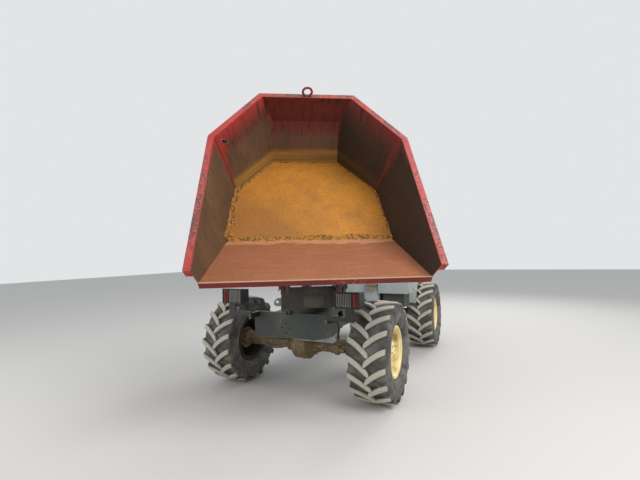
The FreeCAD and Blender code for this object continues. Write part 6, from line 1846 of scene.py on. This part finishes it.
    def build_wheel(self) -> None:
        """Build the steering wheel in place of the CAD one: a rippled rim, three spokes and the hub."""
        lean = math.radians(self.column_lean_deg)
        line = np.array((0.0, math.sin(lean), math.cos(lean)))
        across = np.array((1.0, 0.0, 0.0))
        above = np.cross(line, across)
        centre = np.array(self.wheel_centre)
        turn = np.linspace(0, 2 * math.pi, 120, endpoint=False)[:, None]
        out = np.cos(turn) * across + np.sin(turn) * above
        section = np.linspace(0, 2 * math.pi, 16, endpoint=False)
        under = np.clip(-np.sin(section), 0, 1)[None, :]
        size = self.wheel_tube * (0.97 - 0.055 * under * (1 + np.cos(turn * 30)))
        reach = self.wheel_radius + size * np.cos(section)
        rim = centre + reach[..., None] * out[:, None] + (size * np.sin(section))[..., None] * line
        form = Form()
        form.loop(rim)
        for angle in (90, 210, 330):
            spoke = math.cos(math.radians(angle)) * across + math.sin(math.radians(angle)) * above
            share = np.linspace(0, 1, 14)[:, None]
            path = centre + spoke * (0.028
                + share * (self.wheel_radius - 0.030)) - line * 0.010 * np.cos(share * 1.5)
            scale = 1.25 - 0.45 * np.sin(share[:, 0] * math.pi)
            form.tube(carried(path, rounded_box(0.024, 0.008, 0.003), line, scale))
        hub = fillet(
            [(-0.014, 0.001), (-0.014, 0.036, 0.004), (0.004, 0.039, 0.006), (0.012, 0.030, 0.006),
                (0.0135, 0.012, 0.004), (0.0135, 0.001)], 4)
        form.tube(lathe(hub, centre, line, 40))
        made = self.put(form, "wheel_for_steering", "rear_unit", "control_black", self.finishes.plastic, 40.0)
        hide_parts("steering_wheel")

    def build_deck(self) -> None:
        """Raise rows of grip studs on the deck where feet stand."""
        form = Form()
        rows = np.arange(self.front + 0.035, self.rear - 0.015, self.stud_pitch)
        for row, y in enumerate(rows):
            for x in np.arange(-self.deck_half + 0.03 + self.stud_pitch / 2 * (row % 2),
                    self.deck_half - 0.02, self.stud_pitch):
                if abs(x) < 0.165 and y < 1.76 or y > self.rear - 0.045 and abs(x) < 0.25:
                    continue
                slope = 1 if row % 2 else -1
                ring = ring_section(1.0, 8)
                ring = np.column_stack([ring[:, 0] * 0.0105, ring[:, 1] * 0.0035])
                ring = np.column_stack([ring[:, 0] * 0.7 - ring[:, 1] * 0.7 * slope,
                    ring[:, 0] * 0.7 * slope + ring[:, 1] * 0.7])
                rings = [np.column_stack([x + ring[:, 0] * s, y + ring[:, 1] * s, np.full(8, self.deck + h)])
                         for s, h in ((1.0, -0.0005), (0.85, 0.0013), (0.45, 0.002))]
                form.tube(np.array(rings))
        self.put(form, "deck_studs", "rear_unit", "black_steel", self.finishes.bare, 60.0)


@dataclass
class Pad:
    """A padded seat part, blown up by a cloth simulation from a slightly smaller start."""

    node: str
    body: str
    shrink: float = 0.014
    voxel: float = 0.006
    pressure: float = 4.0
    travel: float = 0.026
    channels: tuple[float, ...] = (-0.080, 0.080)
    channel_depth: float = 0.006
    channel_width: float = 0.007
    frames: int = 20
    cord: float = 0.0042
    cord_points: int = 160

    def build(self, source: Object, fabric: Material, piping: Material) -> None:
        """Blow up a copy of the CAD pad, press its sewn channels in and sew a piping round its middle.

        Args:
            source: The CAD solid, which gives the pad's rough form and place.
            fabric: The covering.
            piping: The finish of the cord sewn into the seam.
        """
        made = self.start(source)
        self.blow(made)
        self.sew(made, source)
        made.data.materials.clear()
        made.data.materials.append(fabric)
        made.data.shade_smooth()
        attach(made, self.body)
        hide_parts(self.node)
        LOG.info("%s: %d faces", made.name, len(made.data.polygons))
        self.pipe(made, piping)

    def start(self, source: Object) -> Object:
        """Copy the CAD solid into a new object, drawn in on every side, and remesh it evenly."""
        mesh = source.data.copy()
        work = bmesh.new()
        work.from_mesh(mesh)
        bmesh.ops.remove_doubles(work, verts=work.verts, dist=1e-5)
        points = np.array([v.co[:] for v in work.verts])
        low, high = points.min(axis=0), points.max(axis=0)
        middle, half = (low + high) / 2, (high - low) / 2
        drawn = middle + (points - middle) * (1 - self.shrink / half)
        for vert, place in zip(work.verts, drawn):
            vert.co = place
        work.to_mesh(mesh)
        work.free()
        made = link(f"soft_{self.node}", mesh)
        remesh = made.modifiers.new("even", "REMESH")
        remesh.mode = "VOXEL"
        remesh.voxel_size = self.voxel
        ease = made.modifiers.new("ease", "SMOOTH")
        ease.iterations = 10
        self.apply(made)
        return made

    def apply(self, made: Object) -> None:
        """Put what the modifiers give into the object's own mesh and remove them."""
        graph = bpy.context.evaluated_depsgraph_get()
        mesh = bpy.data.meshes.new_from_object(made.evaluated_get(graph))
        made.modifiers.clear()
        made.data = mesh

    def blow(self, made: Object) -> None:
        """Run the cloth and hold how far each point moved to the travel."""
        before = vertices(made.data)
        cloth = made.modifiers.new("cloth", "CLOTH")
        cloth.settings.use_pressure = True
        cloth.settings.uniform_pressure_force = self.pressure
        cloth.settings.effector_weights.gravity = 0.0
        scene = bpy.context.scene
        for frame in range(1, self.frames + 1):
            scene.frame_set(frame)
        self.apply(made)
        scene.frame_set(1)
        move = vertices(made.data) - before
        size = np.linalg.norm(move, axis=1, keepdims=True)
        move *= np.minimum(1.0, self.travel / np.maximum(size, 1e-9))
        made.data.vertices.foreach_set("co", (before + move).ravel())
        refine = made.modifiers.new("refine", "SUBSURF")
        refine.levels = refine.render_levels = 1
        self.apply(made)

    def sew(self, made: Object, source: Object) -> None:
        """Press the sewn channels in and keep the pad within its CAD solid's box.

        The depth at a distance d from a seam is its depth times exp(-(d / width)^2), along the normal.
        """
        mesh = made.data
        points, normals = vertices(mesh), vertices(mesh, "normal")
        low, high = (np.array(v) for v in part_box(self.node))
        middle = (low[0] + high[0]) / 2
        depth = np.zeros(len(points))
        for x in self.channels:
            away = (points[:, 0] - middle - x) / self.channel_width
            depth = np.maximum(depth, self.channel_depth * np.exp(-away ** 2))
        points = points - normals * depth[:, None]
        points = np.clip(points, low, high)
        mesh.vertices.foreach_set("co", points.astype(np.float32).ravel())
        mesh.update()

    def pipe(self, made: Object, piping: Material) -> None:
        """Sew a piping round the pad's sides, a little inside its widest line."""
        low, high = (np.array(v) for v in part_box(self.node))
        middle, half = (low + high) / 2, (high - low) / 2
        thin = int(np.argmin(half))
        one, two = (i for i in range(3) if i != thin)
        turn = np.linspace(0, 2 * math.pi, self.cord_points, endpoint=False)
        # a rounded rectangle: each axis is the signed root of the cosine or sine
        guide = np.tile(middle, (len(turn), 1))
        guide[:, one] += half[one] * 1.02 * np.sign(np.cos(turn)) * np.abs(np.cos(turn)) ** 0.35
        guide[:, two] += half[two] * 1.02 * np.sign(np.sin(turn)) * np.abs(np.sin(turn)) ** 0.35
        guide[:, thin] += half[thin] * 0.42
        path = []
        for place in guide:
            _, spot, normal, _ = made.closest_point_on_mesh(Vector(place))
            path.append(np.array(spot) + np.array(normal) * 0.0012)
        path = np.array(path)
        path = sum(np.roll(path, k, axis=0) for k in (-1, 0, 1)) / 3
        ahead = np.roll(path, -1, axis=0) - np.roll(path, 1, axis=0)
        ahead /= np.linalg.norm(ahead, axis=1, keepdims=True)
        up = np.zeros(3)
        up[thin] = 1.0
        across = np.cross(ahead, up)
        across /= np.linalg.norm(across, axis=1, keepdims=True)
        above = np.cross(across, ahead)
        section = ring_section(self.cord, 8)
        rings = path[:, None] + section[None, :, :1] * across[:, None] + section[None, :, 1:] * above[:, None]
        rings = np.clip(rings, low - 0.003, high + 0.003)
        form = Form()
        form.loop(rings)
        form.piece(f"piping_{self.node}", self.body, piping, 60.0)


@dataclass
class RearUnit(SubAssembly):
    """The rear frame with its covers, tanks, guards, roll bar, lamps and hitch."""

    rear_end: float = 3.380
    bonnet_front: float = 2.440
    bonnet_rear: float = 3.340
    bonnet_bottom: float = 0.905
    bonnet_top: float = 1.380
    bonnet_half: float = 0.400
    roll_y: float = 2.385
    roll_pin: float = 1.420
    roll_half: float = 0.370
    tank_inner: float = 0.460
    tank_width: float = 0.440
    tank_low: float = 0.985
    tank_high: float = 1.200
    pivot: float = 1.308
    guard_gap: float = 0.0825
    wheelbase: float = WHEELBASE
    hub: float = HUB_HEIGHT
    guard_edge: float = 0.916
    guard_foot: Pair = (0.520, 0.800)
    guard_bolts: tuple[float, ...] = (-0.20, -0.07, 0.07, 0.20)
    louvres: int = 5
    louvre_pitch: float = 0.042
    cap_radius: float = 0.0375
    cap_ribs: int = 14
    pivot_caps: tuple[tuple[float, int], ...] = ((0.928, 1), (0.660, -1))
    pivot_bolts: float = 0.052
    lamp_width: float = 0.120
    hitch_height: float = 0.560

    def build(self) -> None:
        """Dress the rear unit's nodes and build the pieces on them."""
        self.dress(self.finishes.frame_grey, "rear_chassis", "tow_hitch")
        self.dress(self.finishes.mud, "rear_axle")
        self.dress(self.finishes.body_grey, "bonnet", "mudguards", "fuel_tank", "hydraulic_tank")
        self.dress(self.finishes.black, "roll_bar", "roll_bar_posts", "engine", "exhaust")
        self.dress(self.finishes.plastic, "rear_lamps")
        self.build_bonnet()
        self.build_guards()
        self.build_tanks()
        self.build_roll_bar()
        self.build_pivot()
        self.build_lamps()
        self.build_hitch()

    def build_bonnet(self) -> None:
        """Build a hood over each louvre, the latches and the grab handle."""
        hoods, fittings = Form(), Form()
        low = self.bonnet_bottom
        for side in Side:
            for number in range(self.louvres):
                z = low + 0.150 + self.louvre_pitch * number + 0.014
                for y in (self.bonnet_front + 0.120, self.bonnet_rear - 0.345):
                    rows = []
                    for along, size in ((0.0, 0.0), (0.012, 0.75), (0.024, 1.0), (0.126, 1.0), (0.138, 0.75),
                            (0.150, 0.0)):
                        out = 0.0105 * size + 0.0006
                        shape = [(0.0, 0.010), (out * 0.45, 0.007), (out, -0.003), (out, -0.0055),
                            (out * 0.4, 0.002), (-0.0012, 0.005)]
                        rows.append([(side * (self.bonnet_half + a), y + along, z + b) for a, b in shape])
                    hoods.tube(np.array(rows))
            latch = (side * self.bonnet_half, self.bonnet_front + 0.070, low + 0.075)
            add_plate(fittings, (min(latch[0], latch[0] + side * 0.010), latch[1] - 0.016, latch[2] - 0.035),
                (max(latch[0], latch[0] + side * 0.010), latch[1] + 0.016, latch[2] + 0.035), 0.004)
            add_bolt(fittings, (latch[0] + side * 0.010, latch[1], latch[2] + 0.018), (side, 0, 0), 0.012,
                0.006)
        self.put(hoods, "bonnet_louvres", "bonnet", "body_grey", self.finishes.body_grey, 50.0)
        top = self.bonnet_top - 0.026
        line = fillet(
            [(-0.080, top - 0.002), (-0.080, top + 0.0225, 0.012), (0.080, top + 0.0225, 0.012),
                (0.080, top - 0.002)], 5)
        path = np.column_stack([line[:, 0], np.full(len(line), self.bonnet_front + 0.30), line[:, 1]])
        fittings.tube(carried(path, ring_section(0.0055, 12), (0, 1, 0)))
        self.put(fittings, "bonnet_fittings", "bonnet", "body_grey", self.finishes.plastic)

    def build_guards(self) -> None:
        """Build the rolled edge along each mudguard and its bolts to the frame."""
        form, bolts = Form(), Form()
        outer = self.hub + self.guard_gap
        lean = outer * 0.94
        line = fillet(
            [(-lean, self.hub + 0.250), (-outer * 0.8, self.hub + outer * 0.72, 0.01),
                (-0.290, self.hub + outer, 0.01), (0.290, self.hub + outer, 0.01),
                (outer * 0.8, self.hub + outer * 0.72, 0.01), (lean, self.hub + 0.250)], 4)
        for side in Side:
            x = side * self.guard_edge
            path = np.column_stack([np.full(len(line), x), self.wheelbase + line[:, 0], line[:, 1] - 0.0055])
            form.tube(carried(path, ring_section(0.005, 12), (1, 0, 0)))
            for y in self.guard_bolts:
                add_bolt(bolts, (side * self.guard_foot[0], self.wheelbase + y, self.guard_foot[1]),
                    (-side, 0, 0), 0.014, 0.008)
                add_bolt(bolts, (side * 0.545, self.wheelbase + y, self.hub + outer), (0, 0, 1), 0.012, 0.006,
                    1.6)
        self.put(form, "guard_edges", "rear_unit", "body_grey", self.finishes.body_grey, 50.0)
        self.put(bolts, "guard_bolts", "rear_unit", "body_grey", self.finishes.steel)

    def build_tanks(self) -> None:
        """Build the straps over each tank with their bolts, and the ribbed caps."""
        straps, caps = Form(), Form()
        front, rear = self.pivot + 0.212, self.wheelbase - self.hub - 0.1185
        for side in Side:
            inner, outer = self.tank_inner, self.tank_inner + self.tank_width
            for y in (front + 0.062, rear - 0.062):
                add_plate(straps,
                    (side * (inner + outer) / 2 - self.tank_width / 2 + 0.002, y - 0.012, self.tank_high),
                    (side * (inner + outer) / 2 + self.tank_width / 2 - 0.002, y + 0.012,
                        self.tank_high + 0.003), 0.0012)
                x = side * outer
                add_plate(straps, (min(x, x + side * 0.003), y - 0.012, self.tank_low + 0.01),
                    (max(x, x + side * 0.003), y + 0.012, self.tank_high + 0.003), 0.0012)
                add_bolt(straps, (x + side * 0.003, y, self.tank_low + 0.032), (side, 0, 0), 0.013, 0.008)
            cap = (side * (inner + outer) / 2, front + self.tank_width / 4, self.tank_high + 0.026)
            caps.turned([(0, 0.0385), (0.006, 0.0385, 0.003), (0.006, 0.001)], cap, (0, 0, 1), 40, 3)
            for number in range(self.cap_ribs):
                turn = 2 * math.pi * number / self.cap_ribs
                at = np.array(cap) + (self.cap_radius * math.cos(turn), self.cap_radius * math.sin(turn),
                    -0.024)
                caps.tube(carried(np.array([at, at + (0, 0, 0.026)]), ring_section(0.0035, 8), (1, 0, 0)))
        self.put(straps, "tank_straps", "rear_unit", "body_grey", self.finishes.steel)
        self.put(caps, "tank_caps", "rear_unit", "body_grey", self.finishes.plastic, 50.0)

    def build_roll_bar(self) -> None:
        """Build the spring clips that hold the roll bar's pins, and the caps over the bar's foot plates."""
        form = Form()
        for side in Side:
            x = side * (self.roll_half + 0.025 + 0.008 + 0.012 + 0.0065)
            at = (x, self.roll_y, self.roll_pin)
            form.turned([(0, 0.021), (0.005, 0.021, 0.002), (0.005, 0.001)], at, (side, 0, 0), 28)
            turn = np.linspace(0.3, 5.6, 40)
            ring = np.column_stack([np.full(40, x + side * 0.009), self.roll_y + 0.020 * np.cos(turn),
                self.roll_pin + 0.020 * np.sin(turn)])
            form.tube(carried(ring, ring_section(0.0022, 8), (side, 0, 0)))
        self.put(form, "roll_bar_clips", "rear_unit", "black_steel", self.finishes.steel)

    def build_pivot(self) -> None:
        """Build the articulation's top cap and its ring of bolts, and the grease nipple."""
        form = Form()
        for z, way in self.pivot_caps:
            foot = (0.0, self.pivot, z)
            form.turned([(0, 0.064), (0.008, 0.064, 0.003), (0.008, 0.001)], foot, (0, 0, way), 48, 3)
            for number in range(6):
                turn = 2 * math.pi * number / 6 + 0.3
                at = (self.pivot_bolts * math.cos(turn), self.pivot + self.pivot_bolts * math.sin(turn),
                    z + way * 0.008)
                add_bolt(form, at, (0, 0, way), 0.013, 0.007)
            form.turned(
                [(0, 0.005), (0.006, 0.005), (0.010, 0.003, 0.002), (0.014, 0.003, 0.001), (0.014, 0.001)],
                (0.0, self.pivot, z + way * 0.008), (0, 0, way), 12)
        self.put(form, "pivot_caps", "front_unit", "frame_grey", self.finishes.steel)

    def build_lamps(self) -> None:
        """Build the rear lamps' red and orange lenses."""
        low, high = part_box("rear_lamps")
        low, high = Vector(low) - self.frames.origin, Vector(high) - self.frames.origin
        red = Lens(rgb(168, 20, 16), 0.2).material("red_lens")
        orange = Lens(rgb(214, 104, 20), 0.2).material("amber_lens")
        for kind, material, start, end in (("red", red, 0.0, 0.5), ("amber", orange, 0.5, 1.0)):
            form = Form()
            for side in Side:
                outer = side * high.x
                one, two = outer - side * self.lamp_width * start, outer - side * self.lamp_width * end
                x0, x1 = min(one, two) + 0.004, max(one, two) - 0.004
                across, up = np.linspace(x0, x1, 25), np.linspace(low.z + 0.016, high.z - 0.016, 9)
                share, level = (across - x0) / (x1 - x0), (up - up[0]) / (up[-1] - up[0])
                edge = np.minimum(1,
                    9 * np.minimum.outer(np.minimum(level, 1 - level), np.minimum(share, 1 - share) * 2))
                ribs = 0.0012 * np.abs(np.sin(share * math.pi * 9))[None]
                out = 0.004 * np.sqrt(edge) + ribs * edge
                add_lens(form, across, up, high.y - 0.0006 + out, high.y - 0.001)
            self.put(form, f"rear_{kind}_lenses", "rear_unit", "lamp_housing", material, 30.0)

    def build_hitch(self) -> None:
        """Build the hitch's drop pin with its handle, and the bolts of its plate."""
        form = Form()
        y = self.rear_end + 0.080
        low, high = self.hitch_height - 0.068, self.hitch_height + 0.068
        form.turned(
            [(low, 0.001), (low, 0.0125, 0.003), (high, 0.0145, 0.001), (high, 0.026, 0.001),
                (high + 0.008, 0.026, 0.003), (high + 0.008, 0.001)], (0.0, y, 0.0), (0, 0, 1), 28, 3)
        turn = np.linspace(0, math.pi, 20)
        loop = np.column_stack([0.020 * np.cos(turn), np.full(20, y), high + 0.006 + 0.034 * np.sin(turn)])
        form.tube(carried(loop, ring_section(0.0045, 10), (0, 1, 0)))
        for x in (-0.078, 0.078):
            for z in (-0.045, 0.045):
                add_bolt(form, (x, self.rear_end + 0.020, self.hitch_height + z), (0, 1, 0), 0.012, 0.008,
                    1.15)
        self.put(form, "hitch_pin", "rear_unit", "frame_grey", self.finishes.steel)


@dataclass
class Wheels(SubAssembly):
    """The four wheels: lugged tyres on deep-dish rims."""

    corners: tuple[str, ...] = ("front_left", "front_right", "rear_left", "rear_right")

    def build(self) -> None:
        """Build each corner's tyre and rim in place of the CAD ones."""
        for name in self.corners:
            low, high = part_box(f"tyre_{name}")
            centre = (low + high) / 2
            side = Side.LEFT if name.endswith("left") else Side.RIGHT
            rubber = DustyRubber(centre=tuple(centre)).material(f"rubber_{name}")
            paint = WheelPaint(rgb(244, 224, 164), rgb(226, 204, 142), centre=tuple(centre),
                side=side).material(f"wheel_paint_{name}")
            Tyre(name, centre, (high.z - low.z) / 2, high.x - low.x).build(rubber)
            Rim(name, centre, side).build(paint, self.finishes.steel)


@dataclass
class Seat(SubAssembly):
    """The seat's soft cushion and back."""

    def build(self) -> None:
        """Blow up each pad in place of its CAD solid."""
        vinyl, piping = Vinyl().material("seat_vinyl"), self.finishes.plastic
        Pad("seat_cushion", "rear_unit").build(self.nodes["seat_cushion"], vinyl, piping)
        Pad("seat_back", "rear_unit", travel=0.024).build(self.nodes["seat_back"], vinyl, piping)


def main() -> None:
    """Build the scene around the frame."""
    logging.basicConfig(level=logging.INFO, format="%(name)s: %(message)s")
    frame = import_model()
    bpy.context.scene.view_settings.view_transform = "Standard"
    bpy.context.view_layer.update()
    Studio().build()
    nodes, frames, finishes = frame["nodes"], Frames(camera_origin()), Finishes()
    shared = (nodes, frames, finishes)
    joints = {joint["name"]: joint for joint in frame["record"]["behaviour"]["joints"]}
    Skip(*shared).build()
    Turret(*shared).build()
    Ram(*shared, joints=joints).build()
    Ram(*shared, name="steer_ram", pivot="steer_ram_pivot", stroke="steer_ram_stroke", joints=joints,
        barrel_radius=0.032, barrel_length=0.560, gland_radius=0.037, pipe_radius=0.005).build()
    FrontUnit(*shared).build()
    Axle(*shared).build(-1)
    Axle(*shared, name="rear_axle", body="rear_unit", along=WHEELBASE).build(1)
    Cab(*shared).build()
    Hoses(*shared).build()
    Seat(*shared).build()
    RearUnit(*shared).build()
    Wheels(*shared).build()


if __name__ == "__main__":
    main()
